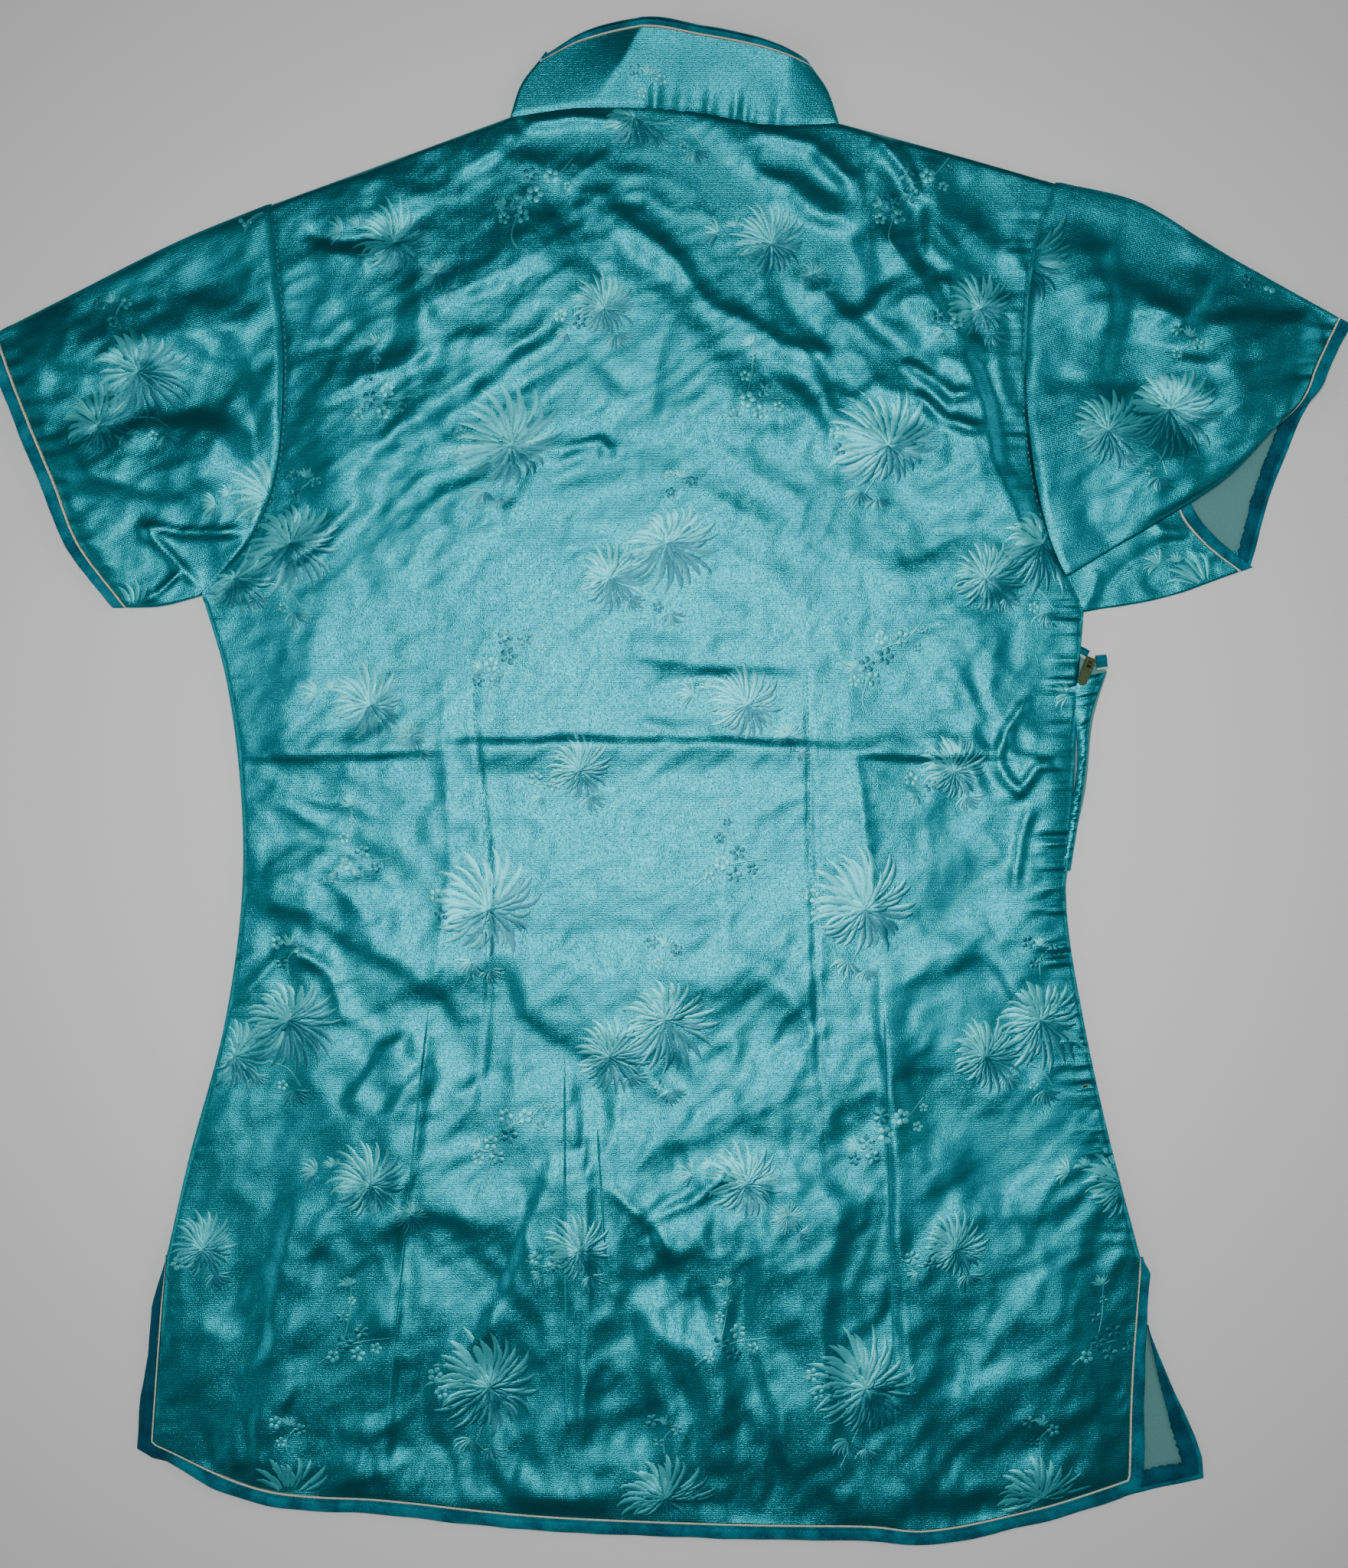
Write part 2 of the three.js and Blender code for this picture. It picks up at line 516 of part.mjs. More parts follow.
/** The slider, with a crown on top that holds the pull's bar. Its own +X runs up the zip and its +Z away from it. */
function addSlider() {
  const { width, length, plate, mouth, nose } = SLIDER;
  const { middle, leanDeg, base } = SLIDER_PLACE;
  const [back, front, top] = [-length / 2, length / 2, 2 * plate + mouth];
  const outline = [[back, 0], [front, 0], [front, top], [back, top], [back, top - plate],
    [front - nose, top - plate], [front - nose, plate], [back, plate]];
  const body = extruded(new THREE.Shape(outline.map((p) => new THREE.Vector2(...p))), width).rotateX(Math.PI / 2);

  const hinge = [CROWN.along, top + CROWN.above];
  const arch = new THREE.Shape();
  arch.moveTo(hinge[0] - CROWN.reach, top - plate / 2);
  arch.lineTo(hinge[0] + CROWN.reach, top - plate / 2);
  arch.lineTo(hinge[0] + CROWN.reach, hinge[1]);
  arch.absarc(hinge[0], hinge[1], CROWN.reach, 0, Math.PI);
  arch.lineTo(hinge[0] - CROWN.reach, top - plate / 2);
  arch.holes.push(new THREE.Path().absarc(hinge[0], hinge[1], CROWN.hole, 0, 2 * Math.PI, true));
  const crown = extruded(arch, CROWN.width).rotateX(Math.PI / 2);

  const lean = Math.PI / 2 - THREE.MathUtils.degToRad(leanDeg);
  const slider = piece("zip_slider", joined(body, crown), METAL);
  slider.position.set(...middle, base);
  slider.rotation.z = lean;

  const half = PULL.width / 2;
  const tab = new THREE.Shape();
  tab.moveTo(PULL.bar / 2, -half);
  tab.lineTo(PULL.bar / 2, half);
  tab.lineTo(half - PULL.length, half);
  tab.absarc(half - PULL.length, 0, half, Math.PI / 2, 1.5 * Math.PI);
  tab.lineTo(PULL.bar / 2, -half);
  const [windowWidth, windowLength] = PULL.window;
  const window = [[-1, -1], [-1, 1], [0, 1], [0, -1]].map(([along, across]) =>
    new THREE.Vector2(-PULL.bar / 2 + along * windowLength, (across * windowWidth) / 2));
  tab.holes.push(new THREE.Path(window));
  const pull = piece("zip_pull", extruded(tab, PULL.thickness), METAL);
  pull.position.set(middle[0] + hinge[0] * Math.cos(lean), middle[1] + hinge[0] * Math.sin(lean), base + hinge[1]);
  pull.rotation.z = lean;
}

addBack();
addFront();
addUnderlap();
addLeftSleeve();
addRightSleeve();
addCollar();
addZip();
addSlider();
blouse.children.forEach((mesh) => mesh.position.add(new THREE.Vector3(-CENTRE[0], -CENTRE[1], 0)));

export default blouse;
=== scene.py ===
"""A cheongsam blouse of satin brocade, laid flat on its front: cloth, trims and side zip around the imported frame."""
import logging
import math
from collections.abc import Callable, Sequence
from dataclasses import dataclass, field
from enum import Enum

import bpy
import numpy as np
from mathutils.bvhtree import BVHTree
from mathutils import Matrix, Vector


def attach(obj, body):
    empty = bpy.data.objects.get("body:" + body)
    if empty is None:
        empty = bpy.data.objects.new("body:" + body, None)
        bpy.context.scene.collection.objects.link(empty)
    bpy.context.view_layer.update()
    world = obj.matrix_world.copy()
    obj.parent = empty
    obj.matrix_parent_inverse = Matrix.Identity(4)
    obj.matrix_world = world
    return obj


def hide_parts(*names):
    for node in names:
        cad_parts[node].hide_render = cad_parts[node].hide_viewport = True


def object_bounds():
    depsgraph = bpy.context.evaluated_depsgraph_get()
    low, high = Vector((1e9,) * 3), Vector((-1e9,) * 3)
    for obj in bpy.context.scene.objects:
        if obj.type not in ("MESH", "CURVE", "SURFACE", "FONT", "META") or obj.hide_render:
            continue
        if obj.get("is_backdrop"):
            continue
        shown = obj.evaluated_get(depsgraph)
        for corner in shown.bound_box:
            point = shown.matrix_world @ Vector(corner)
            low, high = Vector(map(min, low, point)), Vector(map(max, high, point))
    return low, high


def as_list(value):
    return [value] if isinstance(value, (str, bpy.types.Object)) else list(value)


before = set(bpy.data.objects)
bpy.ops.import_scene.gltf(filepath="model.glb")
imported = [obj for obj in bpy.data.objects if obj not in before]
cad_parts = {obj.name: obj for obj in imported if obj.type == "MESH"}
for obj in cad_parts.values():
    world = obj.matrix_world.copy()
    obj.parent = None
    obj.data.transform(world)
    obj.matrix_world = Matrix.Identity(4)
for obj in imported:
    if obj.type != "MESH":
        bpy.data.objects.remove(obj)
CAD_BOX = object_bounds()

LOG = logging.getLogger("blouse")

# Lengths are in millimetres in the plan that the blouse was drawn in, and MM turns them into metres.
MM = 0.001
CENTRE = (-2.73, -0.06)
BODY = "blouse"
CLOTH_MAP = "cloth"

Place = tuple[float, float]
Line = Sequence[Place]
Array = np.ndarray
Piece = bpy.types.Object
Material = bpy.types.Material


# ---- The cut: where the edges of the pieces lie ---------------------------------------------------------------------
@dataclass(frozen=True)
class Level:
    """Where the two side edges of the body lie at one height."""

    name: str
    left: Place
    right: Place


BODY_LEVELS = (
    Level("hem", (-254.6, -324), (222.8, -341.6)),
    Level("mid slit", (-251.4, -278), (224.4, -292.5)),
    Level("slit top", (-247.9, -231.8), (228.9, -232.5)),
    Level("hip", (-237.4, -185.6), (214.9, -178.9)),
    Level("high hip", (-220.1, -120.4), (201.5, -118)),
    Level("waist", (-211.5, -58.9), (192.8, -58.5)),
    Level("midriff", (-211.5, -10), (196.5, -3.4)),
    Level("bust", (-219, 50), (198.6, 45)),
    Level("armpit", (-231, 91.9), (201.5, 84)),
)
ARMHOLE_LEVELS = (
    Level("armpit", (-231, 91.9), (201.5, 84)),
    Level("scoop", (-207.8, 118.1), (186.8, 113.6)),
    Level("notch", (-196.5, 145), (177.5, 150)),
    Level("shoulder blade", (-191.3, 200), (173.3, 200)),
    Level("crown", (-195.4, 255.8), (178, 262)),
    Level("shoulder tip", (-197.3, 282), (187.9, 292.5)),
)
SHOULDER_SEAMS = (
    Level("shoulder tip", (-197.3, 282), (187.9, 292.5)),
    Level("mid shoulder", (-137.6, 303.8), (135.4, 307.5)),
    Level("neck point", (-80, 325), (82, 322)),
)
BACK_NECK = ((-80, 325), (-44.6, 329.6), (7.9, 327.8), (45.4, 321.4), (82, 322))
BACK_HEM = (
    (-254.6, -324), (-200.3, -346.1), (-140.3, -351), (-67.1, -358.5), (39.8, -363),
    (97.9, -363.8), (122.3, -366), (180.4, -354.8), (222.8, -341.6),
)
FRONT_HEM = ((-253, -322), (-140, -347), (0, -356), (120, -360), (190, -349), (252.4, -335.6))
FRONT_RIGHT_EDGE = (
    (252.4, -335.6), (238, -288), (226, -235), (213.5, -178.9), (200.5, -118), (192.2, -58.5),
    (202.4, -3.4), (206, 30), (213, 54),
)
FRONT_NECK = ((74, 28), (45, 60), (2, 74))  # across from the centre front, and down from the neck point
OPENING = ((44, 214), (118, 132), (178, 74), (213, 54))
UNDERLAP_LOWER_EDGE = ((-14, 250), (20, 185), (90, 105), (150, 50), (187, 24))
COLLAR_FOLDS = {
    "left": ((-79.4, 324.6), (-74, 340), (-65, 352)),
    "right": ((80.6, 321.4), (74.5, 339), (67.5, 349.5)),
}
COLLAR_SEAM = ((-79.4, 324.6), (-44.6, 328.8), (7.9, 327), (45.4, 320.6), (80.6, 321.4))
COLLAR_TOP = ((-65, 352), (-44.6, 362), (-14.6, 367.3), (15.4, 362.8), (45.4, 356.8), (67.5, 349.5))
COLLAR_FRONT_TOP = ((55, 318), (34, 299), (3.5, 288))
ZIP_LINE = ((207, -172), (195, -112), (189.5, -58.5), (197.2, -12), (199.8, 10), (200.4, 35), (201.4, 46))
SIDE_TURN_INNER = ((192.6, -44), (199, -8), (201.6, 12), (202.3, 35), (203.6, 45), (206.6, 52.4))
SIDE_TURN_OUTER = ((195.2, -44), (200.8, -8), (203.4, 12), (205.4, 32), (210.5, 47), (213, 53.6))

LEFT_SLEEVE = {
    "top": ((-197.3, 282), (-241.5, 263.6), (-298.9, 234.8), (-331, 218.5)),
    "cuff": ((-331, 218.5), (-322.5, 195), (-313.5, 172.5), (-301.6, 144.4), (-291, 117), (-268.5, 86.2)),
    "under": ((-231, 91.9), (-250, 87.2), (-268.5, 86.2)),
}
RIGHT_SLEEVE = {
    "top": ((187.9, 292.5), (229.5, 282), (267.8, 258.8), (325.5, 226.5)),
    "cuff": ((325.5, 226.5), (314.8, 204), (306.5, 185.5), (294, 172)),
    "pleat edge": ((232.9, 125.6), (270.4, 149.3), (294, 172)),
    "pleat cuff": ((294, 172), (269, 171), (248, 158)),
    "pleat root": ((214, 139), (248, 158)),
    "flap cuff": ((248, 158), (247, 134), (260, 116), (276.5, 103)),
    "under": ((240.4, 90.6), (276.5, 103)),
    "front cuff": ((276.5, 103), (285.5, 139), (297, 170), (314, 204), (325.5, 226.5)),
}


@dataclass(frozen=True)
class Heights:
    """How high the layers of cloth lie above the surface under them."""

    floor: float = 0.5
    front: float = 1.2
    inner: float = 2.1
    back: float = 3.4
    rise: float = 2.4  # how much higher the body lies away from its sides
    spread: float = 38.0  # how far in from a side it has nearly all of that rise
    least: float = 2.9  # how low the back may sink between its folds
    pleat: float = 3.75
    lifted: float = 6.6
    turn: float = 2.4  # how far in from a side the upper layer rolls down to the lower one
    seam: float = 2.2  # where back and front meet at a side


HEIGHTS = Heights()


@dataclass(frozen=True)
class Lay:
    """How a piece was cut from the length of cloth: where the repeat's origin falls, and how far it is turned."""

    origin: Place = (-4.1, 117.0)
    turn_deg: float = 0.0
    eased: Place = (0.0, 0.0)  # how far the cloth is drawn aside above the chest, where darts take it in

    def ease(self, y: Array) -> Array:
        """Gives how far the cloth is drawn aside at each height in plan."""
        share = np.clip((y - 100) / 90, 0, 1)
        return (share * share * (3 - 2 * share))[..., None] * np.array(self.eased)

    def on_cloth(self, plan: Array) -> Array:
        """Gives the place in the length of cloth for places in plan."""
        turn = math.radians(self.turn_deg)
        drawn = plan[..., :2] - self.ease(plan[..., 1])
        x, y = drawn[..., 0] - self.origin[0], drawn[..., 1] - self.origin[1]
        return np.stack([x * math.cos(turn) + y * math.sin(turn), y * math.cos(turn) - x * math.sin(turn)], axis=-1)

    def on_plan(self, cloth: Array) -> Array:
        """Gives the place in plan for places in the length of cloth."""
        turn = math.radians(self.turn_deg)
        x, y = cloth[..., 0], cloth[..., 1]
        spun = np.stack([x * math.cos(turn) - y * math.sin(turn), x * math.sin(turn) + y * math.cos(turn)], axis=-1)
        placed = spun + np.array(self.origin)
        return placed + self.ease(placed[..., 1])


BODY_LAY = Lay(eased=(12.5, -8.0))
LEFT_SLEEVE_LAY = Lay((-262.0, 200.0), 20.0)
RIGHT_SLEEVE_LAY = Lay((243.0, 182.0), -14.0)
COLLAR_LAY = Lay((-12.0, 309.0))


# ---- Lines and grids in plan ----------------------------------------------------------------------------------------
def smooth(places: Line, shares: Array) -> Array:
    """Follows a smooth line through places.

    Args:
        places: The places that the line goes through, two or more.
        shares: How far along the line each wanted point is, from 0 to 1.

    Returns:
        One point in plan for each share.
    """
    p = np.array(places, float)
    p = np.vstack([2 * p[0] - p[1], p, 2 * p[-1] - p[-2]])
    gaps = np.maximum(np.linalg.norm(np.diff(p, axis=0), axis=1) ** 0.5, 1e-6)
    dense = [p[1]]
    for k in range(1, len(p) - 2):
        a, b, c = gaps[k - 1], gaps[k], gaps[k + 1]
        slope_in = b * ((p[k] - p[k - 1]) / a - (p[k + 1] - p[k - 1]) / (a + b) + (p[k + 1] - p[k]) / b)
        slope_out = b * ((p[k + 1] - p[k]) / b - (p[k + 2] - p[k]) / (b + c) + (p[k + 2] - p[k + 1]) / c)
        t = np.linspace(0, 1, 41)[1:, None]
        dense.extend(
            (2 * t**3 - 3 * t**2 + 1) * p[k] + (t**3 - 2 * t**2 + t) * slope_in
            + (3 * t**2 - 2 * t**3) * p[k + 1] + (t**3 - t**2) * slope_out
        )
    line = np.array(dense)
    run = length_along(line)
    wanted = np.asarray(shares) * run[-1]
    return np.stack([np.interp(wanted, run, line[:, k]) for k in (0, 1)], axis=-1)


@dataclass(frozen=True)
class Edge:
    """One edge of a piece: smooth lines end to end, each with its share of the edge."""

    parts: tuple[tuple[float, Line], ...]

    def at(self, shares: Array) -> Array:
        """Gives the edge's point at each share of its length.

        Args:
            shares: How far along the edge each wanted point is, from 0 to 1.

        Returns:
            The points.
        """
        ends = np.cumsum([share for share, _ in self.parts])
        ends = np.concatenate([[0], ends / ends[-1]])
        out = np.zeros((len(shares), 2))
        for k, (_, places) in enumerate(self.parts):
            inside = (shares >= ends[k]) & (shares <= ends[k + 1] + 1e-9)
            local = (shares[inside] - ends[k]) / (ends[k + 1] - ends[k])
            out[inside] = smooth(places, np.clip(local, 0, 1))
        return out


def whole(places: Line) -> Edge:
    """Makes an edge of one smooth line."""
    return Edge(((1.0, tuple(map(tuple, places))),))


def coons(near: Edge, far: Edge, start: Edge, end: Edge, us: Array, vs: Array) -> Array:
    """Fills the plan between four edges.

    Args:
        near: The edge where v is 0, and far where v is 1; both run along u.
        far: See near.
        start: The edge where u is 0, and end where u is 1; both run along v.
        end: See start.
        us: The shares along u.
        vs: The shares along v.

    Returns:
        A grid of points in plan, a row for each v.
    """
    u, v = us[None, :, None], vs[:, None, None]
    a, b, c, d = near.at(us)[None], far.at(us)[None], start.at(vs)[:, None], end.at(vs)[:, None]
    corners = (
        (1 - u) * (1 - v) * a[:, :1] + u * (1 - v) * a[:, -1:] + (1 - u) * v * b[:, :1] + u * v * b[:, -1:]
    )
    return (1 - v) * a + v * b + (1 - u) * c + u * d - corners


def shares(cells: int, first: int = 0, last: int = 0, band: float = 0.014) -> Array:
    """Steps from 0 to 1, with some of the cells crowded into a narrow band at either end."""
    start = band * np.linspace(0, 1, first + 1)[:-1] if first else np.array([])
    end = 1 - band * np.linspace(1, 0, last + 1)[1:] if last else np.array([])
    middle = np.linspace(band if first else 0, 1 - band if last else 1, cells - first - last + 1)
    return np.concatenate([start, middle, end])


def side_places(levels: Sequence[Level], side: str) -> list[Place]:
    """Picks one side of a table of levels."""
    return [getattr(level, side) for level in levels]


def body_side(side: str) -> Edge:
    """The side of the back from the hem up to the shoulder tip."""
    body = side_places(BODY_LEVELS, side)
    hole = side_places(ARMHOLE_LEVELS, side)
    return Edge(((2, tuple(body[:3])), (9, tuple(body[2:])), (8, tuple(hole))))


def front_neck(side: str) -> list[Place]:
    """Half of the front neckline, from the neck point down to the centre front."""
    sign = -1 if side == "left" else 1
    neck_point = getattr(SHOULDER_SEAMS[-1], side)
    return [neck_point, *((sign * x, neck_point[1] - drop) for x, drop in FRONT_NECK)]


def unit(directions: Array) -> Array:
    """Makes each direction in plan 1 long."""
    return directions / np.maximum(np.linalg.norm(directions, axis=1, keepdims=True), 1e-9)


def length_along(line: Array) -> Array:
    """Gives how far along a line each of its points is."""
    return np.concatenate([[0], np.cumsum(np.linalg.norm(np.diff(line, axis=0), axis=1))])


def beside(line: Array, distance: float) -> Array:
    """Moves a line sideways in plan, to its right as it runs when the distance is positive."""
    run = unit(np.gradient(line, axis=0))
    return line + distance * np.stack([run[:, 1], -run[:, 0]], axis=1)


# ---- The folds of the laid cloth ------------------------------------------------------------------------------------
class Form(Enum):
    """How a fold stands out of the cloth around it."""

    RIDGE = "round on both sides"
    PRESS = "pressed to a thin crest"
    LAP = "steep to the left of its run and gentle to the right"


RIDGE, PRESS, LAP = Form


@dataclass(frozen=True)
class Fold:
    """One fold of the upper layer: where it runs, how wide it is and how far it rises, or sinks if negative."""

    name: str
    form: Form
    path: Line
    width: float
    rise: float

    def height(self, x: Array, y: Array, sway: Array) -> Array:
        """Gives the fold's height above a flat cloth.

        Args:
            x: Plan places across.
            y: Plan places up.
            sway: A sideways wander for each place, in millimetres.

        Returns:
            The height at each place.
        """
        nearest = np.full(x.shape, 1e9)
        offset = np.zeros(x.shape)
        run = np.zeros(x.shape)
        path = np.array(self.path, float)
        lengths = np.linalg.norm(np.diff(path, axis=0), axis=1)
        before = np.concatenate([[0], np.cumsum(lengths)])
        for k, length in enumerate(lengths):
            along = (path[k + 1] - path[k]) / length
            dx, dy = x - path[k][0], y - path[k][1]
            t = np.clip(dx * along[0] + dy * along[1], 0, length)
            ex, ey = dx - t * along[0], dy - t * along[1]
            distance = np.hypot(ex, ey)
            closer = distance < nearest
            nearest = np.where(closer, distance, nearest)
            offset = np.where(closer, np.where(along[0] * ey - along[1] * ex > 0, 1, -1) * distance, offset)
            run = np.where(closer, (before[k] + t) / before[-1], run)
        d = (offset + sway) / self.width
        taper = np.clip(run / 0.22, 0, 1) * np.clip((1 - run) / 0.22, 0, 1)
        taper = taper * (2 - taper)
        if self.form is Form.RIDGE:
            shape = np.exp(-(d**2))
        elif self.form is Form.PRESS:
            shape = np.exp(-np.sqrt(d**2 + 0.02) + 0.14)
        else:
            shape = np.where(d > 0, np.exp(-((d * 1.6) ** 2)), np.exp(-((d / 2.6) ** 2)))
        return self.rise * taper * shape


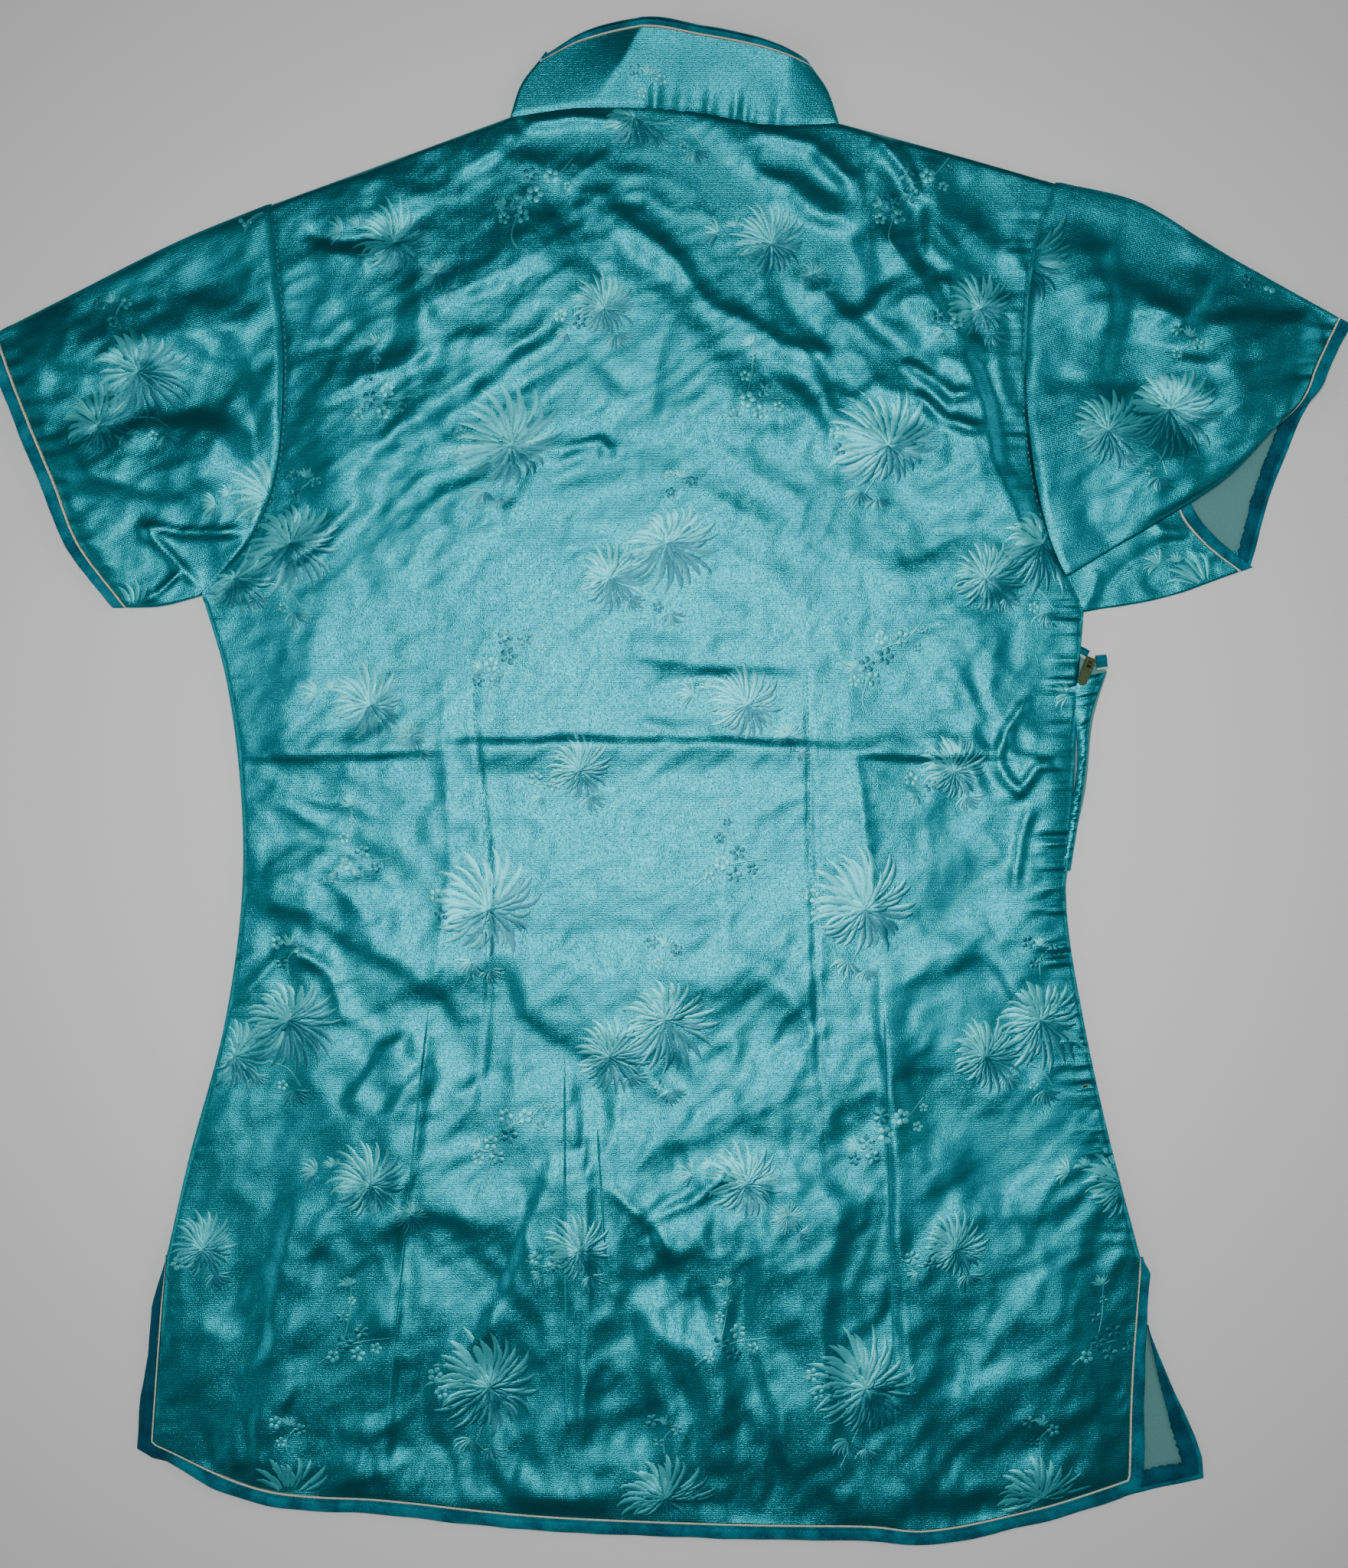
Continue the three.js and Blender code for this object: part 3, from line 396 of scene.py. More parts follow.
FOLDS = (
    # Pressed across and down the body
    Fold("waist press, left", LAP, ((-110, 17), (-156, 13), (-216, 11)), 4.0, 2.2),
    Fold("waist press, middle", LAP, ((-118, 16), (-45, 19), (5, 18), (64, 17), (92, 14)), 3.4, 2.2),
    Fold("waist press, right", LAP, ((165, 14), (120, 12), (84, 15)), 3.6, 2.4),
    Fold("band under the waist press", RIDGE, ((-105, 0), (-60, -3), (-18, -3)), 8, -1.8),
    Fold("dip above the waist press", LAP, ((66, 55), (30, 58), (-22, 61)), 6, -2.8),
    Fold("roll over the dip", RIDGE, ((-14, 45), (6, 49), (30, 51)), 3, 1.0),
    Fold("light over the waist", RIDGE, ((-20, 30), (0, 24), (20, 25)), 4, 1.0),
    Fold("left press, upper", PRESS, ((-113, 52), (-108, -43), (-118, -109)), 4, 0.9),
    Fold("left press, lower", LAP, ((-121, -105), (-127, -176), (-135, -217), (-142, -350)), 6, 3.2),
    Fold("right press, upper", PRESS, ((88, 22), (95, -33), (103, -84)), 4, 1.3),
    Fold("right press, lower", LAP, ((121, -372), (114, -270), (111, -205), (107, -154), (101, -80)), 6, 4.2),
    Fold("middle press", PRESS, ((-9, 10), (-11, -90), (-9, -330)), 5, 0.8),
    # The tuck beside the zip
    Fold("upper left", RIDGE, ((175, 42), (164, 26), (158, 12)), 2.2, 2.2),
    Fold("lower left", RIDGE, ((158, 15), (163, 2), (171, -8)), 2.2, 2.2),
    Fold("lower right", RIDGE, ((168, -8), (178, 7), (190, 10)), 2.4, 2.0),
    Fold("middle", RIDGE, ((157, 13), (172, 11), (190, 9)), 2.2, 1.0),
    Fold("tail", RIDGE, ((176, -12), (170, -30), (166, -55)), 2.6, 1.6),
    Fold("outside", RIDGE, ((152, 30), (150, 12), (160, -10)), 5, -1.6),
    # Left upper back
    Fold("armpit fold, lower", LAP, ((-145, 150), (-180, 112), (-222, 84)), 8, 4.6),
    Fold("armpit fold, upper", LAP, ((-35, 248), (-85, 210), (-130, 176), (-178, 134)), 13, 8.0),
    Fold("armpit roll", RIDGE, ((-148, 140), (-168, 124), (-190, 104)), 6, 2.6),
    Fold("blade fold, upper", LAP, ((-45, 272), (-80, 250), (-118, 236), (-150, 214)), 13, 6.0),
    Fold("blade fold, thin", LAP, ((-108, 222), (-130, 204), (-178, 186)), 6, 2.8),
    Fold("blade facet, top", RIDGE, ((-128, 208), (-100, 217), (-84, 214)), 5, 1.8),
    Fold("blade facet, side", RIDGE, ((-126, 210), (-124, 180), (-112, 158)), 7, 2.0),
    Fold("blade fold, inner", LAP, ((-28, 196), (-66, 160), (-104, 118)), 12, 3.4),
    Fold("arrow under the blade", RIDGE, ((-62, 160), (-36, 166), (-28, 158)), 3.5, 1.6),
    Fold("left shoulder crease", RIDGE, ((-182, 270), (-162, 264), (-138, 268)), 4, -2.6),
    Fold("left shoulder roll", RIDGE, ((-176, 260), (-150, 255), (-125, 262)), 5, 2.6),
    Fold("left shoulder fold", LAP, ((-130, 272), (-142, 292), (-160, 298)), 8, 3.0),
    Fold("left yoke fold", LAP, ((-72, 318), (-92, 304), (-110, 296)), 6, 3.0),
    # Under the collar
    Fold("roll under the collar", RIDGE, ((-74, 321), (-50, 325), (-18, 322)), 4, 3.0),
    Fold("dip under the collar", RIDGE, ((-88, 311), (-55, 311), (-20, 309)), 6, -2.4),
    Fold("neck valley", LAP, ((2, 320), (22, 300), (46, 278), (80, 262), (104, 240)), 12, -6.0),
    Fold("neck fold, long", LAP, ((-45, 288), (-10, 262), (20, 232), (50, 214), (90, 202)), 9, 5.0),
    Fold("neck fold, inner", RIDGE, ((-30, 262), (0, 243), (26, 218)), 7, -2.6),
    Fold("right collar fold", RIDGE, ((36, 319), (68, 311), (92, 287)), 4.5, 3.4),
    Fold("right collar fold, under", RIDGE, ((30, 302), (55, 290), (74, 275), (92, 275)), 5, 3.0),
    Fold("between the collar folds", RIDGE, ((40, 306), (64, 300), (84, 284)), 5, -3.0),
    # Right shoulder and armhole
    Fold("right shoulder tuck", RIDGE, ((98, 320), (110, 302), (123, 282)), 3.5, 3.8),
    Fold("right shoulder dip", RIDGE, ((104, 306), (116, 286), (122, 262)), 6, -3.0),
    Fold("right shoulder upright", LAP, ((126, 246), (125, 280), (124, 306)), 5, 3.2),
    Fold("armhole sweep", LAP, ((94, 276), (117, 250), (136, 222), (148, 188), (158, 150), (184, 100)), 9, 7.0),
    Fold("armhole sweep, inner", RIDGE, ((78, 245), (104, 222), (126, 192), (138, 168)), 10, -4.4),
    Fold("armhole crease", RIDGE, ((112, 206), (136, 188), (148, 190)), 3.4, 2.6),
    Fold("armhole crease, lower", RIDGE, ((118, 190), (134, 176), (152, 170)), 3.4, 2.6),
    Fold("armhole crease, upper", RIDGE, ((132, 250), (142, 222), (154, 204)), 4, 2.4),
    Fold("armhole bay", RIDGE, ((148, 296), (160, 270), (160, 235)), 11, -3.4),
    Fold("armhole rise", RIDGE, ((140, 268), (158, 258), (172, 262)), 7, 2.6),
    Fold("right chest shade", LAP, ((134, 152), (90, 170), (30, 178), (-10, 184)), 14, 5.0),
    Fold("right chest dip", RIDGE, ((10, 222), (56, 208), (96, 190)), 16, -4.4),
    Fold("right chest roll", RIDGE, ((30, 190), (52, 178), (72, 184)), 8, 2.4),
    Fold("armpit dip, right", RIDGE, ((110, 110), (150, 124), (190, 118)), 9, -3.2),
    Fold("armpit roll, right", RIDGE, ((96, 94), (136, 104), (170, 96)), 9, 2.4),
    # Middle
    Fold("left flank fold", LAP, ((-112, -108), (-135, -86), (-172, -66), (-218, -52)), 9, 4.4),
    Fold("left flank square, top", PRESS, ((-218, -112), (-188, -82), (-168, -92)), 4, 2.4),
    Fold("left flank square, side", PRESS, ((-188, -82), (-168, -92), (-160, -120)), 4, 2.0),
    Fold("left flank roll", RIDGE, ((-200, -40), (-165, -48), (-140, -66)), 11, 3.0),
    Fold("hip dip, left", LAP, ((-122, -100), (-110, -124), (-94, -146)), 9, -4.4),
    Fold("hip fold, slanting", LAP, ((-160, -160), (-140, -132), (-128, -124)), 5, 3.2),
    Fold("hip fold, slanting, inner", LAP, ((-150, -176), (-130, -150), (-118, -138)), 6, 2.6),
    Fold("hip dip, inner", LAP, ((-92, -88), (-76, -116), (-44, -140), (-32, -170)), 10, -4.4),
    Fold("seat band", RIDGE, ((-66, -72), (-20, -76), (24, -70)), 12, -2.6),
    Fold("seat roll", RIDGE, ((-10, -100), (34, -94), (70, -114)), 11, 3.2),
    Fold("seat valley", LAP, ((66, -118), (36, -142), (6, -166)), 10, -4.0),
    Fold("right flank roll", RIDGE, ((88, -104), (120, -92), (156, -70)), 9, 3.2),
    Fold("right flank dip", RIDGE, ((120, -72), (150, -56), (160, -40)), 12, -2.4),
    Fold("right hip dip", LAP, ((148, -84), (164, -112), (174, -150)), 8, -4.4),
    Fold("right hip valley", RIDGE, ((112, -140), (140, -166), (172, -196)), 15, -4.0),
    # Skirt
    Fold("fold 1", LAP, ((-204, -350), (-192, -250), (-176, -190)), 10, 3.6),
    Fold("fold 2", LAP, ((-170, -208), (-186, -262), (-196, -330)), 9, 3.2),
    Fold("fold 3", LAP, ((-98, -282), (-72, -230), (-54, -178)), 8, 5.0),
    Fold("fold 4", LAP, ((-52, -140), (-46, -200), (-48, -345)), 8, 4.2),
    Fold("fold 5", LAP, ((-44, -340), (-42, -240), (-40, -150)), 4, 2.4),
    Fold("fold 6", LAP, ((2, -196), (20, -234), (26, -340)), 10, 4.6),
    Fold("fold 7", LAP, ((60, -350), (42, -262), (58, -180)), 12, 4.6),
    Fold("fold 8", LAP, ((84, -200), (72, -262), (84, -352)), 8, 3.4),
    Fold("fold 9", LAP, ((146, -340), (150, -282), (190, -236)), 13, 4.4),
    Fold("fold 10", LAP, ((206, -200), (196, -260), (212, -330)), 9, 3.2),
    Fold("cross fold", LAP, ((-2, -250), (-12, -214), (14, -196)), 6, -4.0),
    Fold("star, left", PRESS, ((-34, -196), (-12, -214), (2, -236)), 4, 2.8),
    Fold("star, right", PRESS, ((-12, -214), (14, -204), (28, -190)), 4, 2.4),
    Fold("slant, left", LAP, ((-70, -222), (-120, -204), (-160, -222)), 12, 4.0),
    Fold("slant, right", LAP, ((18, -222), (60, -200), (98, -206)), 11, 3.6),
    Fold("hem wave, left", RIDGE, ((-226, -326), (-180, -336), (-130, -340)), 8, 3.0),
    Fold("hem wave, middle", RIDGE, ((-80, -342), (-56, -350), (-30, -350)), 7, 3.6),
    Fold("hem wave, right", RIDGE, ((124, -350), (156, -346), (196, -336)), 8, 3.2),
    # Left sleeve
    Fold("upper", LAP, ((-200, 226), (-255, 214), (-318, 206)), 13, 6.0),
    Fold("middle", LAP, ((-304, 160), (-262, 168), (-206, 176)), 12, 6.0),
    Fold("lower", LAP, ((-204, 150), (-250, 146), (-296, 152)), 12, 5.0),
    Fold("valley", RIDGE, ((-206, 250), (-250, 240), (-296, 224)), 15, -4.6),
    Fold("dip", RIDGE, ((-206, 200), (-240, 186), (-272, 190)), 12, -4.0),
    Fold("end fold", PRESS, ((-262, 124), (-240, 121), (-208, 121)), 2.6, 3.4),
    Fold("corner", PRESS, ((-259, 124), (-240, 104), (-231, 94)), 2.6, 2.8),
    Fold("corner back", PRESS, ((-240, 103), (-252, 92), (-262, 86)), 2.6, 2.4),
    # Right sleeve
    Fold("upper", LAP, ((226, 232), (262, 222), (322, 221)), 13, 6.0),
    Fold("crown", LAP, ((192, 276), (212, 240), (208, 196)), 12, 5.0),
    Fold("valley", RIDGE, ((214, 262), (240, 252), (268, 250)), 12, -4.4),
    Fold("dip", RIDGE, ((224, 226), (238, 190), (252, 160)), 18, -5.4),
    Fold("roll", RIDGE, ((256, 268), (254, 240), (246, 212)), 11, 4.0),
    Fold("cuff shade", LAP, ((262, 206), (290, 214), (316, 226)), 10, 4.0),
    Fold("lower", LAP, ((204, 128), (236, 156), (286, 190)), 10, 3.6),
)


FLAP_FOLDS = (
    Fold("underarm seam", LAP, ((256, 124), (251, 117), (238, 115), (222, 104), (209, 90)), 1.2, -1.2),
    Fold("underarm roll", RIDGE, ((250, 128), (236, 122), (218, 112), (206, 98)), 5.5, 1.2),
    Fold("gather at the bound end", RIDGE, ((232, 131), (240, 122), (252, 121)), 3.0, 1.8),
    Fold("gather below it", RIDGE, ((252, 112), (262, 110), (268, 114)), 3.0, 1.4),
    Fold("dimple", RIDGE, ((256, 106), (262, 103), (268, 104)), 3.5, -1.4),
    Fold("pucker at the seam", RIDGE, ((230, 98), (238, 94), (248, 96)), 3.0, -1.2),
    Fold("gather at the armpit", RIDGE, ((200, 84), (206, 92), (208, 104)), 3.0, 1.5),
)


@dataclass(frozen=True)
class HardLine:
    """A straight pressed line, finer than the mesh: its two ends in plan, and its height, or its depth if negative."""

    upper: Place
    lower: Place
    rise: float


HARD_LINES = (
    HardLine((-119, -105), (-142, -336), -1.0),
    HardLine((-53, -130), (-52, -334), -0.7),
    HardLine((-37.5, -160), (-32, -244), -0.9),
    HardLine((103, -104), (110, -345), 1.2),
)


@dataclass(frozen=True)
class Crumple:
    """A stretch of cloth with small soft wrinkles that mostly run one way."""

    name: str
    middle: Place
    reach: Place
    run_deg: float
    along: float
    across: float
    rise: float


CRUMPLES = (
    Crumple("left blade", (-120, 210), (85, 80), 38, 46, 27, 2.6),
    Crumple("right blade", (110, 220), (75, 80), -50, 44, 25, 2.8),
    Crumple("yoke", (-20, 285), (90, 40), -15, 40, 24, 2.2),
    Crumple("mid back", (10, 110), (120, 70), 12, 44, 30, 1.3),
    Crumple("waist", (0, -30), (150, 60), -8, 46, 26, 1.1),
    Crumple("left flank", (-165, -30), (55, 120), -18, 34, 21, 1.8),
    Crumple("right flank", (150, 20), (50, 100), -35, 30, 19, 1.8),
    Crumple("hips", (0, -150), (220, 55), 30, 42, 28, 2.4),
    Crumple("left skirt", (-170, -265), (90, 90), 62, 44, 26, 3.0),
    Crumple("mid skirt", (-10, -270), (110, 95), 104, 48, 26, 3.4),
    Crumple("right skirt", (160, -265), (85, 90), 48, 46, 28, 2.6),
    Crumple("left hem", (-150, -330), (110, 26), 90, 18, 10, 1.2),
    Crumple("right hem", (80, -345), (140, 24), 90, 20, 11, 1.2),
    Crumple("left sleeve", (-262, 180), (65, 85), 8, 40, 24, 2.8),
    Crumple("right sleeve", (250, 210), (65, 85), 30, 42, 25, 2.6),
)


class Noise:
    """Smooth gradient noise over the plan, the same on every run."""

    SIZE = 64

    def __init__(self, seed: int) -> None:
        """Draws the lattice of random slopes."""
        turn = np.random.default_rng(seed).uniform(0, 2 * math.pi, (self.SIZE, self.SIZE))
        self.slope = np.stack([np.cos(turn), np.sin(turn)])

    def at(self, x: Array, y: Array) -> Array:
        """Gives the noise, from about -1 to 1, at places counted in lattice cells.

        Args:
            x: Places across, in lattice cells.
            y: Places up.

        Returns:
            The noise at each place.
        """
        i, j = np.floor(x).astype(int), np.floor(y).astype(int)
        fx, fy = x - i, y - j

        def corner(a: int, b: int) -> Array:
            """The noise that one corner of the cell gives."""
            slope = self.slope[:, (j + b) % self.SIZE, (i + a) % self.SIZE]
            return slope[0] * (fx - a) + slope[1] * (fy - b)

        wx, wy = (f**3 * (f * (6 * f - 15) + 10) for f in (fx, fy))
        low = corner(0, 0) * (1 - wx) + corner(1, 0) * wx
        high = corner(0, 1) * (1 - wx) + corner(1, 1) * wx
        return 1.5 * (low * (1 - wy) + high * wy)


class Relief:
    """The height of the upper layer's folds over the whole plan."""

    FOLDED = 0.52
    CRISP = 0.85
    NARROW = 4.2
    CRUMPLED = 0.62

    def __init__(self) -> None:
        """Makes the noises that the folds wander by."""
        self.sway = Noise(11)
        self.grain = [Noise(20 + k) for k in range(len(CRUMPLES))]
        self.swell = Noise(5)

    def at(self, x: Array, y: Array) -> Array:
        """Sums folds, wrinkles and a slow swell.

        Args:
            x: Plan places across.
            y: Plan places up.

        Returns:
            The height above a flat cloth, in millimetres.
        """
        outward = np.clip((np.hypot(x, (y - 50) / 1.3) - 70) / 170, 0.2, 1)
        height = 1.6 * self.swell.at(x / 90 + 7.3, y / 90 + 3.1)
        height = height + 1.9 * outward * self.swell.at((x + 0.5 * y) / 50 + 21, (y - 0.4 * x) / 50 + 13)
        bend = 0.5 * self.sway.at(x / 45 + 31, y / 45 + 8)
        crease = self.swell.at((x + 0.6 * y) / 27 + bend, (y - 0.6 * x) / 11 + 17)
        facet = self.sway.at((x - 0.4 * y) / 12 + 40, (y + 0.4 * x) / 24 + bend + 25)
        height = height + 0.5 * (0.3 - np.sqrt(crease**2 + 0.003)) + 0.4 * (0.3 - np.sqrt(facet**2 + 0.003))
        for k, fold in enumerate(FOLDS):
            sway = 0.35 * fold.width * self.sway.at(x / 34 + 3 * k, y / 34 + k)
            share = self.FOLDED if fold.width > self.NARROW else self.CRISP
            height = height + share * fold.height(x, y, sway)
        for k, patch in enumerate(CRUMPLES):
            height = height + self.CRUMPLED * self.crumple(patch, self.grain[k], x, y)
        return height

    def crumple(self, patch: Crumple, noise: Noise, x: Array, y: Array) -> Array:
        """Gives the small wrinkles of one stretch of cloth.

        Args:
            patch: The stretch.
            noise: Its own noise.
            x: Plan places across.
            y: Plan places up.

        Returns:
            The height that they add.
        """
        dx, dy = x - patch.middle[0], y - patch.middle[1]
        weight = np.exp(-((dx / patch.reach[0]) ** 2) - (dy / patch.reach[1]) ** 2)
        turn = math.radians(patch.run_deg)
        along = (dx * math.cos(turn) + dy * math.sin(turn)) / patch.along
        across = (dy * math.cos(turn) - dx * math.sin(turn)) / patch.across
        bend = 0.6 * noise.at(along * 0.7 + 9, across * 0.35)
        coarse = noise.at(along + 5.2, across + bend + 11.7)
        coarse = 0.55 - 1.7 * np.sqrt(coarse**2 + 0.006) + 0.5 * coarse
        fine = noise.at(along * 2.1 + 31.4, across * 2.1 + bend + 17.9)
        return patch.rise * weight * (coarse + 0.32 * (0.5 - 1.7 * np.abs(fine)))


RELIEF = Relief()


# ---- Meshes ---------------------------------------------------------------------------------------------------------
def settle(points: Array) -> Array:
    """Turns points of the drawing plan, in millimetres, into metres in the frame."""
    shifted = points - np.array([CENTRE[0], CENTRE[1], 0.0])
    return shifted * MM


def mesh_object(name: str, points: Array, faces: Array, cloth: Array | None = None) -> Piece:
    """Makes an object from points and faces.

    Args:
        name: The piece's name.
        points: Places in the drawing plan with heights, in millimetres.
        faces: Four corners for each face.
        cloth: Each point's place in the flat cloth, in millimetres, or nothing.

    Returns:
        The new object, smooth shaded and linked into the scene.
    """
    mesh = bpy.data.meshes.new(name)
    mesh.from_pydata(settle(points).tolist(), [], faces.tolist())
    mesh.polygons.foreach_set("use_smooth", [True] * len(mesh.polygons))
    if cloth is not None:
        layer = mesh.uv_layers.new(name=CLOTH_MAP)
        corners = np.zeros(len(mesh.loops), np.int32)
        mesh.loops.foreach_get("vertex_index", corners)
        layer.data.foreach_set("uv", (cloth[corners] * MM).ravel())
    mesh.validate()
    mesh.update()
    made = bpy.data.objects.new(name, mesh)
    bpy.context.scene.collection.objects.link(made)
    return made


def grid_faces(rows: int, columns: int, ring: bool = False, first: int = 0) -> Array:
    """Gives the faces of a grid of points, closed on itself across when it is a ring."""
    cells = columns if ring else columns - 1
    j, i = np.meshgrid(np.arange(rows - 1), np.arange(cells), indexing="ij")
    j, i = j.ravel(), i.ravel()
    nxt = (i + 1) % columns
    return first + np.stack([j * columns + i, j * columns + nxt, (j + 1) * columns + nxt, (j + 1) * columns + i], 1)


def lifted(plan: Array, height: Array) -> Array:
    """Adds heights to a grid of places in plan."""
    return np.concatenate([plan, np.broadcast_to(height, plan.shape[:-1])[..., None]], axis=-1)


def rolled(distance: Array, reach: float) -> Array:
    """Rises from 0 at an edge to 1 at `reach` from it, as a round turn does."""
    return np.sqrt(np.clip(1 - (1 - np.clip(distance / reach, 0, 1)) ** 2, 0, 1))


def above(height: Array, least: float, softness: float = 0.7) -> Array:
    """Keeps heights above a level, easing them out of it instead of cutting them off."""
    rest = (height - least) / softness
    return least + softness * (np.logaddexp(0, rest))


def from_edge(plan: Array, axis: int, last: bool) -> Array:
    """Gives each grid point's distance to the grid's first or last line, along one axis."""
    edge = np.take(plan, [-1 if last else 0], axis=axis)
    return np.linalg.norm(plan - edge, axis=-1)


def from_edges(plan: Array, axis: int) -> Array:
    """Gives each grid point's distance to the nearer of the grid's first and last lines, along one axis."""
    return np.minimum(from_edge(plan, axis, False), from_edge(plan, axis, True))


def folded(layers: Sequence[Array], ring: bool, steps: int = 6) -> Array:
    """Joins layers of cloth that lie on each other, with a round turn from each to the next.

    Args:
        layers: Grids of points with heights; each starts in plan where the one before it ends.
        ring: Whether the last layer turns back into the first.
        steps: How many cells a turn has.

    Returns:
        One grid whose rows go through all the layers and turns.
    """
    parts = []
    for k, layer in enumerate(layers):
        parts.append(layer)
        if k == len(layers) - 1 and not ring:
            break
        here, there = layer[:, -1], layers[(k + 1) % len(layers)][:, 0]
        out = unit((layer[:, -1] - layer[:, -3])[:, :2])
        radius = np.abs(here[:, 2] - there[:, 2]) / 2
        for step in range(1, steps):
            angle = math.pi * step / steps
            share = (1 - math.cos(angle)) / 2
            point = here * (1 - share) + there * share
            point[:, :2] += out * (radius * math.sin(angle))[:, None]
            parts.append(point[:, None])
    return np.concatenate(parts, axis=1)


def dress(piece: Piece, finish: "Finish", slot: str, *nodes: str) -> Piece:
    """Gives a piece its finish, and says what it rides on and stands for.

    Args:
        piece: The new piece.
        finish: What it is made of.
        slot: The material slot that it belongs to; not used.
        nodes: The frame's nodes that it stands for, if any.

    Returns:
        The same piece.
    """
    piece.data.materials.append(finish.material())
    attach(piece, BODY)
    if nodes:
        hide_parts(*nodes)
    LOG.info("%s: %d faces", piece.name, len(piece.data.polygons))
    return piece


# ---- Shader graphs --------------------------------------------------------------------------------------------------
class Value:
    """A number on its way through a shader, which can be used in sums."""

    def __init__(self, graph: "Graph", socket: bpy.types.NodeSocket) -> None:
        """Wraps a socket of a graph."""
        self.graph = graph
        self.socket = socket

    def __add__(self, other: "Value | float") -> "Value":
        """Sums."""
        return self.graph.sum("ADD", self, other)

    __radd__ = __add__

    def __mul__(self, other: "Value | float") -> "Value":
        """Multiplies."""
        return self.graph.sum("MULTIPLY", self, other)

    __rmul__ = __mul__

    def __sub__(self, other: "Value | float") -> "Value":
        """Subtracts."""
        return self.graph.sum("SUBTRACT", self, other)

    def __rsub__(self, other: "Value | float") -> "Value":
        """Subtracts from a number."""
        return self.graph.sum("SUBTRACT", other, self)

    def __abs__(self) -> "Value":
        """Drops the sign."""
        return self.graph.sum("ABSOLUTE", self)


Input = Value | bpy.types.NodeSocket | float | tuple


class Graph:
    """A material's nodes."""

    def __init__(self, name: str) -> None:
        """Starts an empty material."""
        self.made = bpy.data.materials.new(name)
        self.made.use_nodes = True
        self.tree = self.made.node_tree
        self.tree.nodes.clear()

    def node(self, kind: str, settings: dict | None = None, sockets: dict | None = None) -> bpy.types.Node:
        """Adds a node.

        Args:
            kind: The node's type, without its common prefix.
            settings: Its properties, set before the sockets.
            sockets: Values or links, by socket name or number.

        Returns:
            The node.
        """
        made = self.tree.nodes.new("ShaderNode" + kind)
        for key, value in (settings or {}).items():
            setattr(made, key, value)
        for key, value in (sockets or {}).items():
            if isinstance(value, Value):
                value = value.socket
            if isinstance(value, bpy.types.NodeSocket):
                self.tree.links.new(value, made.inputs[key])
            else:
                made.inputs[key].default_value = value
        return made

    def sum(self, operation: str, *values: Input) -> Value:
        """Adds a Math node."""
        made = self.node("Math", {"operation": operation}, dict(enumerate(values)))
        return Value(self, made.outputs[0])

    def stretched(self, vector: Value, by: tuple[float, float, float]) -> Value:
        """Multiplies a vector by another, part by part."""
        made = self.node("VectorMath", {"operation": "MULTIPLY"}, {0: vector, 1: by})
        return Value(self, made.outputs[0])

    def in_millimetres(self, socket: bpy.types.NodeSocket) -> Value:
        """Turns a place in metres into millimetres."""
        made = self.node("VectorMath", {"operation": "SCALE"}, {0: socket, 3: 1 / MM})
        return Value(self, made.outputs[0])

    def parts(self, vector: Value) -> tuple[Value, Value]:
        """Splits a vector into its x and y."""
        made = self.node("SeparateXYZ", None, {0: vector})
        return Value(self, made.outputs[0]), Value(self, made.outputs[1])

    def smooth(self, value: Input, low: float, high: float) -> Value:
        """Rises softly from 0 to 1 as a value goes from low to high."""
        settings = {"interpolation_type": "SMOOTHSTEP"}
        made = self.node("MapRange", settings, {0: value, 1: low, 2: high})
        return Value(self, made.outputs[0])

    def mix(self, factor: Input, a: Input, b: Input) -> Value:
        """Mixes two colours, from all of the first at 0 to all of the second at 1."""
        made = self.node("Mix", {"data_type": "RGBA"}, {0: factor, 6: a, 7: b})
        return Value(self, made.outputs[2])

    def noise(self, vector: Input, scale: float, detail: float = 2.0, rough: float = 0.5) -> Value:
        """Adds a noise texture and gives its value."""
        made = self.node("TexNoise", None, {"Vector": vector, "Scale": scale, "Detail": detail, "Roughness": rough})
        return Value(self, made.outputs[0])

    def cloth(self) -> Value:
        """Gives the place in the flat cloth, in millimetres."""
        made = self.node("UVMap", {"uv_map": CLOTH_MAP})
        return self.in_millimetres(made.outputs[0])

    def place(self) -> Value:
        """Gives the place on the object, in millimetres."""
        made = self.node("TexCoord")
        return self.in_millimetres(made.outputs["Object"])

    def surface(self, sockets: dict) -> Material:
        """Ends the graph in one Principled surface and gives the material."""
        skin = self.node("BsdfPrincipled", None, sockets)
        self.node("OutputMaterial", None, {0: skin.outputs[0]})
        return self.made

    def bump(self, height: Input, distance: float, strength: float = 1.0) -> Value:
        """Adds a Bump node that a Normal can take."""
        made = self.node("Bump", None, {"Height": height, "Distance": distance, "Strength": strength})
        return Value(self, made.outputs[0])


Colour = tuple[float, float, float, float]


class Finish:
    """A finish that makes its material once."""

    kept: dict[str, Material] = {}

    def material(self) -> Material:
        """Gives the finish's material, made the first time it is asked for."""
        key = repr(self)
        if key not in Finish.kept:
            Finish.kept[key] = self.make()
        return Finish.kept[key]

    def make(self) -> Material:
        """Builds the material."""
        raise NotImplementedError


# ---- The woven figures ----------------------------------------------------------------------------------------------
@dataclass(frozen=True)
class Figure:
    """One woven figure of the repeat: its middle, its size and the way that it is turned."""

    x: float
    y: float
    size: float
    turn_deg: float = 0.0


